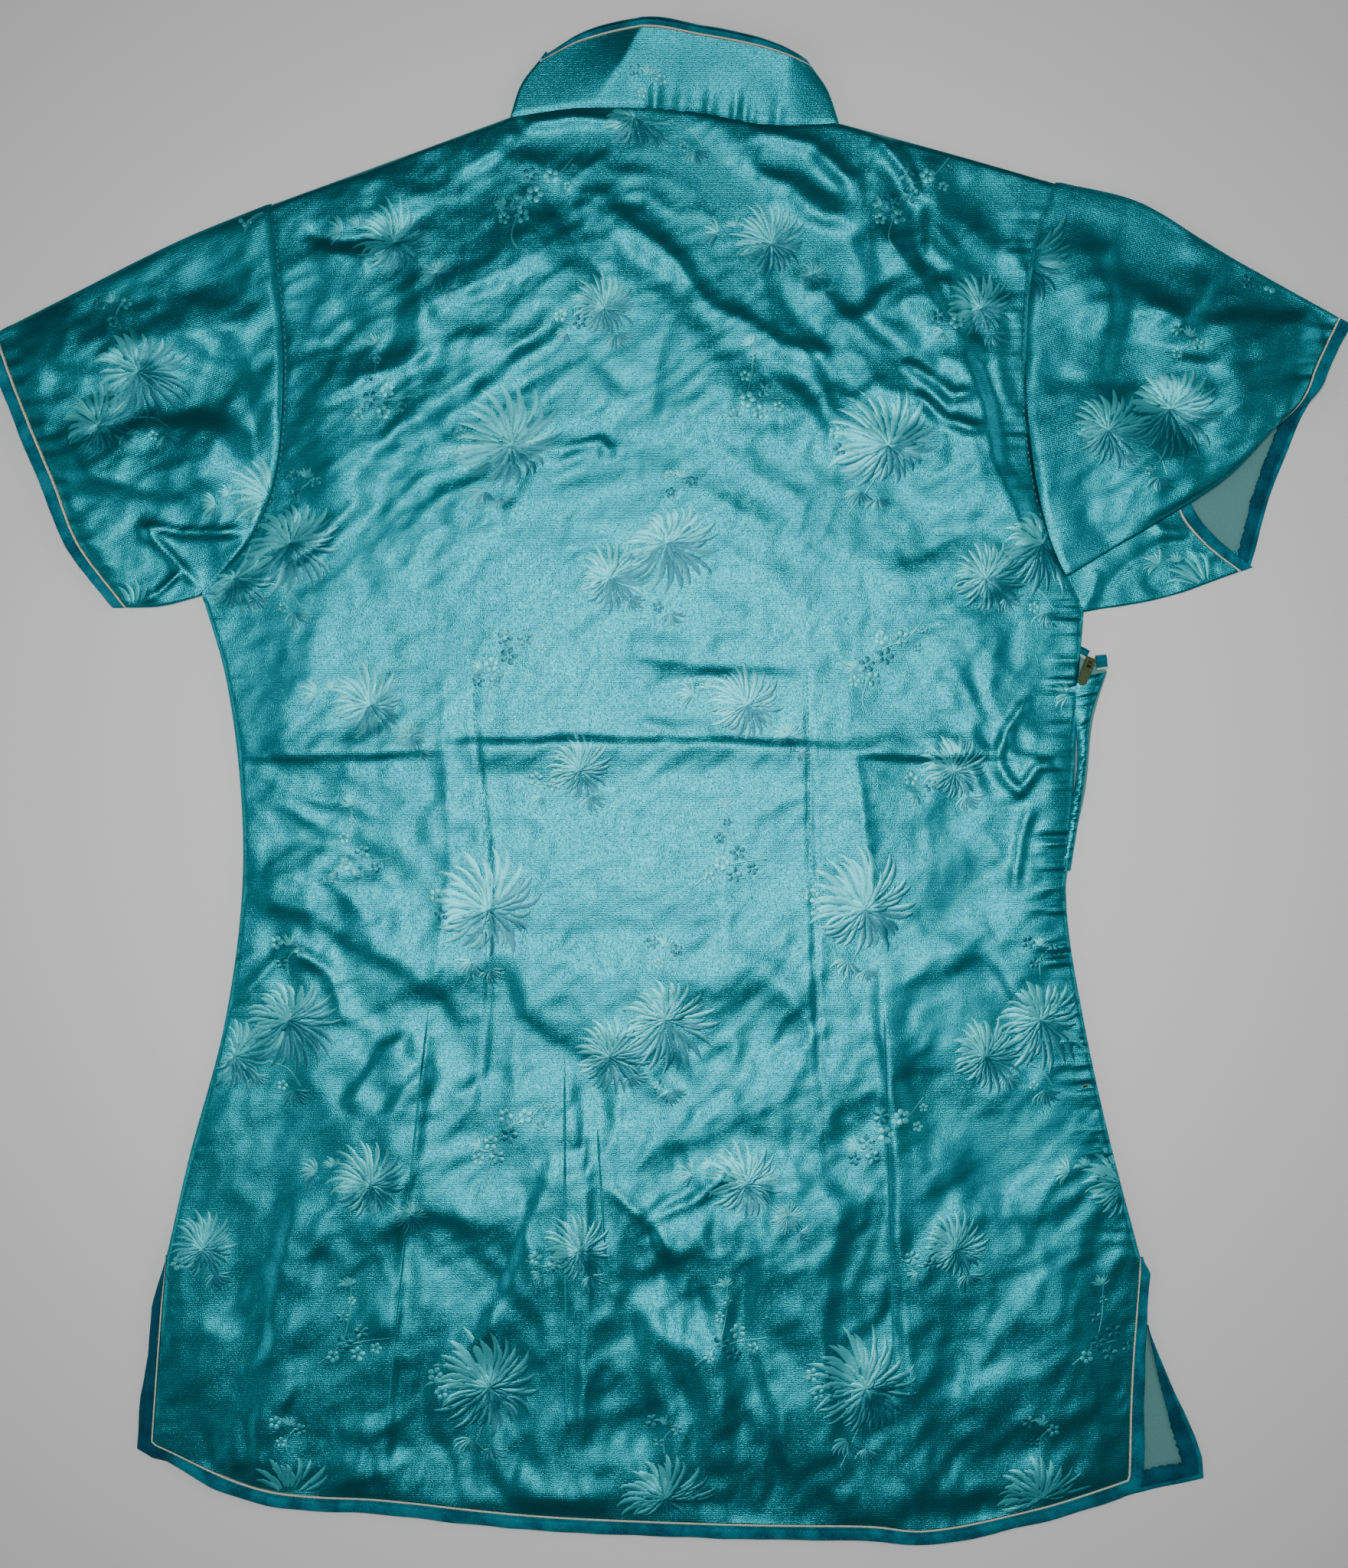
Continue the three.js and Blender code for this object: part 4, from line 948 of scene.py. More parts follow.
REPEAT = (184.0, 234.0)
BLOOMS = (
    Figure(0, 0, 23, 300), Figure(-27, -18, 18, 30), Figure(98, -180, 26, 120), Figure(40, -80, 18.5, 120),
    Figure(60, -95, 8, 300), Figure(-42, -112, 16, 80),
)
SPRAYS = (
    Figure(3, -34, 9, 280), Figure(-16, -27, 8, 290), Figure(14, -75, 9, 165), Figure(22, -72, 6, 110),
    Figure(-36, -124, 9, 285), Figure(-60, -124, 6, 215), Figure(90, -205, 10, 245), Figure(99, -209, 8, 280),
    Figure(-90, -62, 6, 170), Figure(0, 36, 6, 60), Figure(30, -130, 6, 100), Figure(66, -103, 6, 320),
)
PLUMS = (
    Figure(-78, -47, 4.6), Figure(-68, -47, 4.6, 30), Figure(-76, -56, 5.0), Figure(-85, -60, 4.6, 20),
    Figure(-82, -67, 4.4, 40), Figure(-91, -68, 3.6, 10), Figure(-60, -52, 3.0), Figure(-57, -43, 2.6, 20),
    Figure(28, -157, 4.8), Figure(36, -152, 4.4, 30), Figure(22, -164, 3.8, 50), Figure(34, -163, 4.4, 10),
    Figure(43, -160, 3.4), Figure(27, -145, 3.4, 20), Figure(31, -137, 2.6), Figure(72, -173, 4.4),
    Figure(75, -182, 4.0, 30), Figure(-6, 38, 3.8), Figure(6, 34, 3.6, 40), Figure(-3, 28, 3.2, 20),
    Figure(-63, -116, 4.2, 10), Figure(-54, -119, 4.0, 40), Figure(-3, -32, 3.2),
)
STEMS = (
    ((-96, -60), (-86, -64), (-76, -52), (-66, -48), (-57, -38)), ((-84, -66), (-87, -78), (-84, -84)),
    ((15, -168), (26, -158), (30, -146), (31, -130)), ((24, -160), (36, -157), (50, -155)),
    ((-10, -20), (0, -24), (6, -32)), ((0, 22), (0, 30), (6, 36)), ((76, -176), (84, -179), (92, -180)),
    ((-68, -117), (-58, -120), (-50, -116)), ((96, -196), (92, -206), (86, -218)), ((48, -88), (56, -94)),
)


@dataclass(frozen=True)
class Ring:
    """One ring of a bloom's petals, in shares of the bloom's size."""

    name: str
    count: int
    start: float
    reach: float
    width: float
    bend: float


RINGS = (
    Ring("outer", 25, 0.42, 1.02, 0.060, 0.30),
    Ring("middle", 21, 0.26, 0.82, 0.056, 0.40),
    Ring("inner", 15, 0.11, 0.58, 0.050, 0.55),
    Ring("heart", 8, 0.01, 0.28, 0.046, 0.80),
)


@dataclass
class Float:
    """One patch of floating threads: its middle line, its half widths and how brightly it lies, with painted light and
    shade by the way that it points.
    """

    line: Array
    half: Array
    tone: float


class Surface:
    """The face of a panel, which places in plan can be dropped on."""

    def __init__(self, grid: Array) -> None:
        """Takes a grid of points with heights."""
        points = grid.reshape(-1, 3).tolist()
        self.tree = BVHTree.FromPolygons(points, grid_faces(*grid.shape[:2]).tolist())

    def height(self, spot: Sequence[float]) -> float | None:
        """Gives the height at a place in plan, or None off the panel."""
        hit = self.tree.ray_cast((spot[0], spot[1], 60.0), (0.0, 0.0, -1.0))[0]
        return None if hit is None else hit[2]


class Weaver:
    """Weaves the chrysanthemum and plum figures of the repeat into a panel."""

    STATIONS = np.array([0.0, 0.2, 0.45, 0.68, 0.87, 1.0])
    PETAL = np.array([0.35, 0.75, 1.0, 0.9, 0.55, 0.06])
    ROUND = np.array([0.12, 0.78, 1.0, 1.0, 0.78, 0.12])
    # Painted light: the direction that a light is taken to come from; petals that point toward it are painted lighter,
    # and those that point away darker.
    PAINTED_LIGHT_FROM_DEG = 125.0
    LIFT = 0.05
    # How much lighter each patch's side toward the light, and how much darker its side away, is painted: painted light
    # and shade.
    PAINTED_SIDE_LIGHT = 0.55

    def __init__(self, seed: int) -> None:
        """Starts the random order that petals differ by."""
        self.random = np.random.default_rng(seed)
        turn = math.radians(self.PAINTED_LIGHT_FROM_DEG)
        self.painted_light = np.array([math.cos(turn), math.sin(turn)])

    def tone(self, angle: float, spread: float = 0.16) -> float:
        """How brightly floats lie whose petal points at an angle: painted light where it points toward the light,
        painted shade where it points away, with a random spread.
        """
        painted_light = 0.5 + 0.42 * math.cos(angle - math.radians(self.PAINTED_LIGHT_FROM_DEG))
        return float(np.clip(painted_light + self.random.normal(0, spread), 0, 1))

    def petal(self, middle: Place, size: float, angle: float, start: float, reach: float, width: float,
              bend: float) -> Float:
        """Makes one pointed petal that bends as it goes out."""
        t = self.STATIONS
        radius = size * (start + (reach - start) * t)
        turn = angle + bend * (t - 0.3) ** 2
        line = np.stack([middle[0] + radius * np.cos(turn), middle[1] + radius * np.sin(turn)], axis=1)
        return Float(line, size * width * self.PETAL, self.tone(angle))

    def bloom(self, figure: Figure) -> list[Float]:
        """Makes a full bloom, its petals longest on the side that it turns to.

        Args:
            figure: The bloom.

        Returns:
            Its petals.
        """
        made = []
        for ring in RINGS:
            first = self.random.uniform(0, 2 * math.pi)
            for k in range(ring.count):
                angle = first + 2 * math.pi * (k + self.random.uniform(-0.28, 0.28)) / ring.count
                longer = 1 + 0.16 * math.cos(angle - math.radians(figure.turn_deg)) + self.random.uniform(-0.14, 0.10)
                bend = ring.bend * (0.6 + 0.8 * self.random.random()) * (1 if math.sin(angle) > -0.3 else -1)
                width = ring.width * self.random.uniform(0.75, 1.2)
                made.append(self.petal((figure.x, figure.y), figure.size, angle, ring.start, ring.reach * longer,
                                       width, bend))
        return made

    def spray(self, figure: Figure) -> list[Float]:
        """Makes a small fan of petals or leaves."""
        made = []
        for k in range(9):
            angle = math.radians(figure.turn_deg + 17 * (k - 4)) + self.random.uniform(-0.1, 0.1)
            reach = self.random.uniform(0.7, 1.1)
            made.append(self.petal((figure.x, figure.y), figure.size, angle, 0.12, reach, 0.085, 0.4))
        return made

    def plum(self, figure: Figure) -> list[Float]:
        """Makes a plum blossom of five round petals.

        Args:
            figure: The blossom.

        Returns:
            Its petals.
        """
        made = []
        tone = self.tone(self.random.uniform(0, 2 * math.pi), 0.3)
        for k in range(5):
            angle = math.radians(figure.turn_deg + 72 * k) + self.random.uniform(-0.1, 0.1)
            radius = figure.size * (0.22 + 0.66 * self.STATIONS)
            line = np.stack([figure.x + radius * math.cos(angle), figure.y + radius * math.sin(angle)], axis=1)
            own_tone = float(np.clip(tone + self.random.normal(0, 0.1), 0, 1))
            made.append(Float(line, figure.size * 0.30 * self.ROUND, own_tone))
        return made

    def stem(self, places: Line) -> list[Float]:
        """Makes a thin stem."""
        cuts = max(1, len(places) - 1)
        line = smooth(places, np.linspace(0, 1, 5 * cuts + 1))
        return [
            Float(line[5 * k:5 * k + 6], np.full(6, 0.42), 0.35 + 0.3 * self.random.random()) for k in range(cuts)
        ]

    def repeat(self) -> list[Float]:
        """Makes all the figures of one repeat, round its origin."""
        made = [petal for figure in BLOOMS for petal in self.bloom(figure)]
        made += [petal for figure in SPRAYS for petal in self.spray(figure)]
        made += [petal for figure in PLUMS for petal in self.plum(figure)]
        return made + [part for places in STEMS for part in self.stem(places)]

    def weave(self, name: str, grid: Array, lay: Lay) -> Piece:
        """Weaves the figures into a panel's face.

        Args:
            name: The piece's name.
            grid: The face's points with heights.
            lay: How the panel was cut from the cloth.

        Returns:
            The floats as one piece.
        """
        surface = Surface(grid)
        cloth = lay.on_cloth(grid)
        low = np.floor(cloth.reshape(-1, 2).min(axis=0) / REPEAT).astype(int) - 1
        high = np.ceil(cloth.reshape(-1, 2).max(axis=0) / REPEAT).astype(int) + 1
        points, faces, tones = [], [], []
        for row in range(low[1], high[1] + 1):
            for column in range(low[0], high[0] + 1):
                for patch in self.repeat():
                    line = lay.on_plan(patch.line + np.array(REPEAT) * (column, row))
                    self.lay(Float(line, patch.half, patch.tone), surface, points, faces, tones)
        # The UV map carries each point's brightness, with its painted light and shade, and how far in from the sides it
        # is.
        painted_tone_map = np.array(tones)
        piece = mesh_object(name, np.array(points), np.array(faces), painted_tone_map)
        return dress(piece, Floats(), "brocade")

    def lay(self, patch: Float, surface: Surface, points: list, faces: list, tones: list) -> None:
        """Lays one patch of floats on the cloth, unless part of it is off the panel.

        Args:
            patch: The floats, in plan.
            surface: The panel's face.
            points: Where new points are added.
            faces: Where new faces are added.
            tones: Where each point's brightness, painted lighter on the patch's side toward the light and darker on the
                side away, and how far in from the sides it is, are added.
        """
        run = unit(np.gradient(patch.line, axis=0))
        aside = np.stack([-run[:, 1], run[:, 0]], axis=1) * patch.half[:, None]
        rows = []
        for share, lift in ((1, 0.0), (0, 1.0), (-1, 0.0)):
            for spot, half in zip(patch.line + share * aside, patch.half):
                height = surface.height(spot)
                if height is None:
                    return
                rows.append((spot[0], spot[1], height + self.LIFT + lift * min(0.22, 0.2 * half)))
        first, n = len(points), len(patch.line)
        points.extend(rows)
        # Painted light and shade: the side of each patch that faces the light is painted lighter, and the side away
        # from it darker.
        painted_side_light_and_shade = aside @ self.painted_light / np.maximum(patch.half, 1e-6) * self.PAINTED_SIDE_LIGHT
        for share in (1.0, 0.0, -1.0):
            tones.extend((patch.tone + share * g, 1 - abs(share)) for g in painted_side_light_and_shade)
        for side in (0, n):
            for k in range(n - 1):
                a = first + side + k
                faces.append((a, a + n, a + n + 1, a + 1))


# ---- Finishes -------------------------------------------------------------------------------------------------------
@dataclass(frozen=True)
class Brocade(Finish):
    """The shining satin ground of the brocade."""

    light: Colour = (0.008, 0.30, 0.35, 1)
    deep: Colour = (0.0, 0.135, 0.18, 1)
    rib_pitch: float = 0.9
    line_edge: float = 0.7  # half the width of a hard line's steep side
    line_fade: float = 12.0  # how far from the line its gentle side reaches
    line_ends: float = 30.0  # how long a hard line takes to come up at each end
    line_depth: float = 5.0

    def make(self) -> Material:
        """Builds the material: weft streaks, clouding and the fine rib of the weave.

        Returns:
            The material.
        """
        graph = Graph("brocade")
        cloth = graph.cloth()
        streaks = graph.noise(graph.stretched(cloth, (0.05, 1.6, 1)), 1.0, 1.0, 0.6)
        cloudy = graph.noise(cloth, 0.03, 0.0, 0.5)
        grain = graph.noise(cloth, 1.9, 0.0, 0.6)
        colour = graph.mix(streaks * 0.5 + cloudy * 0.35 + grain * 0.35 - 0.05, self.deep, self.light)
        rib = graph.sum("SINE", graph.parts(cloth)[1] * (2 * math.pi / self.rib_pitch))
        return graph.surface({
            "Base Color": colour,
            "Roughness": 0.33 + 0.10 * grain,
            "Metallic": 0.86,
            "Normal": graph.bump(rib * 0.12 + grain * 0.9 + self.pressed(graph), 0.00014, 0.85),
        })

    def pressed(self, graph: Graph) -> Value:
        """Gives the height of the hard lines: a step that fades out to one side.

        Args:
            graph: The cloth's graph.

        Returns:
            The height to add to the bump.
        """
        x, y = graph.parts(graph.place())
        total = 0.0
        for line in HARD_LINES:
            x0, y0, x1, y1 = (float(v) for v in np.subtract((line.upper, line.lower), CENTRE).ravel())
            lean, side = (x1 - x0) / (y1 - y0), math.copysign(1, line.rise)
            off = x * side - y * (lean * side) - (x0 - y0 * lean) * side
            run = graph.smooth(y, y1, y1 + self.line_ends) * graph.smooth(y, y0, y0 - self.line_ends)
            steep = graph.smooth(off, -self.line_edge, self.line_edge)
            gentle = graph.smooth(off, self.line_fade, self.line_edge)
            total = total + run * (steep * gentle) * (self.line_depth * line.rise)
        return total


@dataclass(frozen=True)
class Floats(Finish):
    """The floating threads of the woven figures, duller than the ground and more even from side to side."""

    light: Colour = (0.05, 0.52, 0.57, 1)
    dark: Colour = (0.0, 0.12, 0.16, 1)

    def make(self) -> Material:
        """Builds the material: each patch's own brightness with its painted light and shade, one side painted lighter
        and the other darker, a little darker along its middle, with a fine thread.

        Returns:
            The material.
        """
        graph = Graph("figure_floats")
        tone, inward = graph.parts(graph.cloth())
        thread = graph.noise(graph.stretched(graph.place(), (0.5, 2.4, 1)), 1.6, 0.0, 0.6)
        # Painted light and shade: each patch's brightness already holds how it points toward the light and which of its
        # sides faces it.
        mixed = graph.smooth(tone * 0.9 - inward * 0.12 + thread * 0.3, 0.1, 0.98)
        return graph.surface({
            "Base Color": graph.mix(mixed, self.dark, self.light),
            "Roughness": 0.43, "Metallic": 0.6,
            "Normal": graph.bump(thread, 0.00008, 0.7),
        })


@dataclass(frozen=True)
class WrongSide(Finish):
    """The dull inner side of the brocade."""

    thread: Colour = (0.16, 0.40, 0.38, 1)
    shade: Colour = (0.08, 0.25, 0.25, 1)
    pitch: float = 0.8

    def make(self) -> Material:
        """Builds the material: a close plain weave.

        Returns:
            The material.
        """
        graph = Graph("wrong_side")
        cloth = graph.cloth()
        across, up = graph.parts(cloth)
        warp = graph.sum("SINE", across * (2 * math.pi / self.pitch))
        weft = graph.sum("SINE", up * (2 * math.pi / self.pitch))
        grain = graph.noise(cloth, 1.2, 2.0, 0.6)
        colour = graph.mix(grain * 0.8 + warp * weft * 0.12, self.shade, self.thread)
        return graph.surface({
            "Base Color": colour, "Roughness": 0.8, "Metallic": 0.0,
            "Normal": graph.bump(warp * weft + grain * 2, 0.00008, 0.8),
        })


@dataclass(frozen=True)
class Binding(Finish):
    """Blue binding with a close velvety grain."""

    light: Colour = (0.008, 0.31, 0.40, 1)
    dark: Colour = (0.0, 0.04, 0.08, 1)
    painted_shade_left_of: Place = (-238.0, -246.0)  # painted shade: the left slit's binding, where it rolls under, is painted darker to the left of these places
    painted_shade_below: Place = (-230.0, -240.0)
    painted_shade_strength: float = 0.75

    def make(self) -> Material:
        """Builds the material: short cross grain, lighter worn places, and painted shade over the left slit's binding,
        where it rolls under.

        Returns:
            The material.
        """
        graph = Graph("binding")
        place = graph.place()
        grain = graph.noise(graph.stretched(place, (1, 1, 0.4)), 1.7, 3.0, 0.7)
        patches = graph.noise(place, 0.09, 2.0, 0.5)
        mixed = graph.smooth(grain, 0.32, 0.68) * 0.5 + graph.smooth(patches, 0.3, 0.7) * 0.5
        x, y = graph.parts(place)
        # Painted shade: the left slit's binding, where it rolls under, is painted darker by its place.
        turned = graph.smooth(x, *self.painted_shade_left_of) * graph.smooth(y, *self.painted_shade_below)
        return graph.surface({
            "Base Color": graph.mix(mixed * (1 - self.painted_shade_strength * turned), self.dark, self.light),
            "Roughness": 0.66, "Metallic": 0.15,
            "Normal": graph.bump(grain, 0.0003, 0.9),
            "Specular IOR Level": 0.15,
        })


@dataclass(frozen=True)
class Piping(Finish):
    """Cream cord piping."""

    light: Colour = (0.80, 0.94, 0.76, 1)
    dark: Colour = (0.46, 0.48, 0.34, 1)
    pitch: float = 1.4

    def make(self) -> Material:
        """Builds the material: a fine slanting twist with blotchy wear.

        Returns:
            The material.
        """
        graph = Graph("piping")
        place = graph.place()
        twist = graph.sum("SINE", (graph.parts(place)[0] + graph.parts(place)[1]) * (2 * math.pi / self.pitch))
        wear = graph.noise(place, 0.5, 3.0, 0.6)
        return graph.surface({
            "Base Color": graph.mix(twist * 0.12 + wear * 1.1, self.dark, self.light),
            "Roughness": 0.6,
            "Normal": graph.bump(twist + wear, 0.00012, 0.7),
        })


@dataclass(frozen=True)
class Thread(Finish):
    """Sewing thread."""

    colour: Colour = (0.03, 0.30, 0.38, 1)

    def make(self) -> Material:
        """Builds the material: the thread's own twist."""
        graph = Graph("thread")
        wear = graph.noise(graph.place(), 3.0, 1.0, 0.5)
        shade = tuple(0.5 * c for c in self.colour[:3]) + (1,)
        return graph.surface({
            "Base Color": graph.mix(wear, shade, self.colour), "Roughness": 0.5,
            "Normal": graph.bump(wear, 0.00005, 0.5),
        })


@dataclass(frozen=True)
class Tape(Finish):
    """Grey-green zip tape."""

    light: Colour = (0.24, 0.42, 0.42, 1)
    dark: Colour = (0.10, 0.20, 0.20, 1)
    rib_pitch: float = 0.8
    zigzag: float = 2.2

    def make(self) -> Material:
        """Builds the material: a herringbone rib along the tape.

        Returns:
            The material.
        """
        graph = Graph("zip_tape")
        across, up = graph.parts(graph.place())
        zigzag = abs(graph.sum("SINE", across * self.zigzag))
        rib = graph.sum("SINE", (up + zigzag) * (2 * math.pi / self.rib_pitch))
        return graph.surface({
            "Base Color": graph.mix(rib * 0.5 + 0.5, self.dark, self.light), "Roughness": 0.85,
            "Normal": graph.bump(rib, 0.00006, 0.8),
        })


@dataclass(frozen=True)
class Metal(Finish):
    """Dulled brass with its paint worn off in patches."""

    bright: Colour = (0.22, 0.21, 0.10, 1)
    dull: Colour = (0.020, 0.040, 0.008, 1)

    def make(self) -> Material:
        """Builds the material: tarnish in patches and fine scratches.

        Returns:
            The material.
        """
        graph = Graph("zip_metal")
        place = graph.place()
        tarnish = graph.noise(place, 0.8, 4.0, 0.65)
        scratch = graph.noise(graph.stretched(place, (6, 0.6, 3)), 1.4, 2.0, 0.7)
        return graph.surface({
            "Base Color": graph.mix(graph.smooth(tarnish, 0.64, 0.74), self.dull, self.bright),
            "Roughness": 0.32 + 0.3 * tarnish, "Metallic": 0.5,
            "Normal": graph.bump(scratch, 0.00003, 0.6),
        })


@dataclass(frozen=True)
class PlainFloor(Finish):
    """A plain pale floor."""

    colour: Colour = (0.86, 0.86, 0.85, 1)

    def make(self) -> Material:
        """Builds the material."""
        graph = Graph("floor")
        return graph.surface({"Base Color": self.colour, "Roughness": 0.9})


# ---- Trims ----------------------------------------------------------------------------------------------------------
@dataclass
class Trim:
    """Piping, and the binding outside it, along one run of an edge."""

    name: str
    edge: Array  # points with heights, along the panel's edge
    out: Array  # plan directions out of the edge
    width: float = 6.7
    piping_radius: float = 0.55
    gap: float = 0.35
    thickness: float = 1.5
    sink: float = 0.0  # how far the binding's outer edge lies below the panel's edge
    seed: int = 3

    def sweep(self, name: str, profile: Sequence[Place]) -> Piece:
        """Sweeps a closed section along the edge.

        Args:
            name: The piece's name.
            profile: Section corners: distance out of the edge, and height above it.

        Returns:
            The swept piece.
        """
        section = np.array(profile)
        wander = Noise(self.seed)
        run = length_along(self.edge[:, :2])
        stretch = 1 + 0.09 * wander.at(run / 23, run * 0 + 2)
        ripple = 0.22 * wander.at(run / 9, run * 0 + 8)
        rows = []
        for distance, height in section:
            spot = self.edge.copy()
            spot[:, :2] += self.out * (distance * stretch)[:, None]
            share = np.clip(distance / self.width, 0, 1)
            spot[:, 2] += height + ripple * share - self.sink * share
            rows.append(spot)
        grid = np.stack(rows, axis=1)  # along, round
        grid[..., 2] = np.maximum(grid[..., 2], 0.05)
        faces = grid_faces(len(grid), len(section), ring=True)
        piece = mesh_object(name, grid.reshape(-1, 3), faces[:, ::-1])
        cap_ends(piece, len(section), len(grid))
        return piece

    def make(self) -> list[Piece]:
        """Builds and dresses the piping and the binding.

        Returns:
            The piping and the binding.
        """
        r, w, t = self.piping_radius, self.width, self.thickness
        middle = self.gap + r
        angles = np.linspace(0, 2 * math.pi, 9)[:-1]
        cord = [(middle - r * math.cos(a), 0.25 + r * math.sin(a)) for a in angles]
        start = middle + r + 0.15
        end = start + w
        roll = [
            (start, -0.9), (start, 0.05), (start + 0.35, 0.45), (start + 0.8, 0.42), (start + 1.2, 0.10),
            (start + 1.9, 0.45), (start + 3.0, 0.45 * t), (end - 1.8, 0.35 * t), (end - 0.5, -0.05), (end, -0.55),
            (end - 0.4, -1.1), (end - 1.8, -1.3), (start + 2.5, -1.2),
        ]
        piping = dress(self.sweep(f"{self.name}_cord", cord), Piping(), "piping", f"{self.name}_piping")
        binding = dress(self.sweep(f"{self.name}_roll", roll), Binding(), "binding", f"{self.name}_binding")
        return [piping, binding]


def cap_ends(piece: Piece, round_count: int, along_count: int) -> None:
    """Closes the two ends of a swept piece.

    Args:
        piece: The swept piece.
        round_count: How many points its section has.
        along_count: How many sections it has.
    """
    mesh = piece.data
    points = np.zeros(len(mesh.vertices) * 3)
    mesh.vertices.foreach_get("co", points)
    corners = [list(p.vertices) for p in mesh.polygons]
    last = (along_count - 1) * round_count
    corners.append(list(range(round_count)))
    corners.append(list(range(last + round_count - 1, last - 1, -1)))
    mesh.clear_geometry()
    mesh.from_pydata(points.reshape(-1, 3).tolist(), [], corners)
    mesh.polygons.foreach_set("use_smooth", [True] * len(mesh.polygons))
    mesh.update()


def out_of(line: Array, side: float) -> Array:
    """Plan directions out of a line, to its right when side is 1, lengthened at corners.

    Args:
        line: Points along an edge.
        side: 1 for its right and -1 for its left.

    Returns:
        One direction for each point.
    """
    steps = unit(np.diff(line[:, :2], axis=0))
    before = np.vstack([steps[:1], steps])
    after = np.vstack([steps, steps[-1:]])
    run = unit(before + after)
    widen = 1 / np.maximum(0.6, (run * before).sum(axis=1, keepdims=True))
    return side * widen * np.stack([run[:, 1], -run[:, 0]], axis=1)


def evened(line: Array, step: float) -> Array:
    """Resamples a line of points with heights at about equal steps."""
    run = length_along(line)
    wanted = np.linspace(0, run[-1], max(2, round(run[-1] / step)) + 1)
    return np.stack([np.interp(wanted, run, line[:, k]) for k in range(line.shape[1])], axis=1)


# ---- Panels ---------------------------------------------------------------------------------------------------------
@dataclass
class BackPanel:
    """The back, cut in one, with its darts, press folds and puckered zip seam."""

    across: int = 240
    up: int = 350
    dart_groove: float = 0.7
    tucked: float = 0.3
    pucker_rise: float = 3.8
    pucker_reach: float = 11.0
    pucker_pitch: float = 3.6
    zip_ends: Place = (-185.0, 84.0)
    binding_lift: float = 3.2
    left_tuck: Place = (-338.0, 14.0)  # where a slit's binding starts to roll under, and over what length
    right_tuck: Place = (-330.0, 80.0)
    left_taper: Place = (26.0, 0.12)  # over what length a binding grows at a slit's top, and from what share
    right_taper: Place = (9.0, 0.3)
    DARTS: tuple = (
        ((-106.7, 314), (-104.3, 250)),
        ((94.6, 316), (96, 253)),
        ((-97.5, 43), (-96.8, 25), (-93.8, 0.8), (-90.8, -28), (-89.3, -51), (-90, -108), (-92.6, -139), (-96, -176)),
        ((65.6, 52), (66.8, 6.4), (67.1, -31.9), (69, -70), (69.8, -99), (71.6, -139), (73.9, -166), (75.4, -193.5)),
    )
    grid: Array = field(init=False, default=None)

    def heights(self, plan: Array) -> Array:
        """Lays the cloth: base, folds, rolled sides, dart grooves and puckers.

        Args:
            plan: The panel's grid in plan.

        Returns:
            The height at each of its points.
        """
        x, y = plan[..., 0], plan[..., 1]
        left, right = from_edge(plan, 1, False), from_edge(plan, 1, True)
        low, top = from_edge(plan, 0, False), from_edge(plan, 0, True)
        side = np.minimum(left, right)
        slit = y < BODY_LEVELS[2].left[1]
        hole = y > BODY_LEVELS[-1].right[1] + 4
        relief = RELIEF.at(x, y)
        calm = rolled(side, 14) * rolled(low, 9) * rolled(top, 10)
        inward = np.minimum(side + np.where(hole, 14, 0), top + 12)
        base = HEIGHTS.back + HEIGHTS.rise * (1 - np.exp(-inward / HEIGHTS.spread))
        least = HEIGHTS.least + 1.3 * np.exp(-((x / 90) ** 2) - ((y - 305) / 42) ** 2)
        height = above(base + relief * (0.15 + 0.85 * calm), least)
        drop = np.where(slit | hole, 0.0, HEIGHTS.back - HEIGHTS.seam)
        height -= drop * (1 - rolled(side, HEIGHTS.turn))
        neck = np.abs(x) < 80
        height -= np.where(neck, 0.4, HEIGHTS.back - HEIGHTS.seam) * (1 - rolled(top, HEIGHTS.turn))
        height -= np.where(hole, 0.4 * np.exp(-((side / 1.2) ** 2)), 0)
        height += self.puckers(y, right, left, slit, hole)
        for dart in self.DARTS:
            height += self.groove(dart, x, y)
        return height

    def puckers(
        self, y: Array, right: Array, left: Array, slit: Array, hole: Array
    ) -> Array:
        """Short gathers across the zip seam, and fainter ones at the other seams.

        Args:
            y: Plan places up.
            right: How far each place is from the right edge.
            left: How far from the left edge.
            slit: Whether it is beside a slit.
            hole: Whether it is beside an armhole.

        Returns:
            The height that they add.
        """
        wander = Noise(31)
        size = 0.6 + 0.7 * wander.at(y / 23, y * 0 + 20)
        gather = wander.at(y / self.pucker_pitch, y * 0 + 4) + 0.5 * wander.at(y / 2.1, y * 0 + 9)
        zipped = (y > self.zip_ends[0]) & (y < self.zip_ends[1])
        rise = self.pucker_rise * size * gather * np.where(zipped, 1.0, 0.4)
        near_right = np.exp(-((right - 4) / self.pucker_reach) ** 2) * rolled(right, 2.5)
        near_left = 0.2 * np.exp(-((left - 3) / 7) ** 2) * rolled(left, 2.5)
        both = near_right + near_left
        return rise * np.where(slit, 0.55 * near_right + 2.4 * near_left, np.where(hole, 0.4 * both, both))

    def groove(self, dart: Line, x: Array, y: Array) -> Array:
        """The line of a sewn dart: a fine groove with small dimples."""
        fold = Fold("dart", RIDGE, dart, 1.5, -self.dart_groove)
        side = Fold("dart side", RIDGE, dart, 5.0, 0.35)
        return fold.height(x, y, 0 * x) + side.height(x, y, 0 * x)

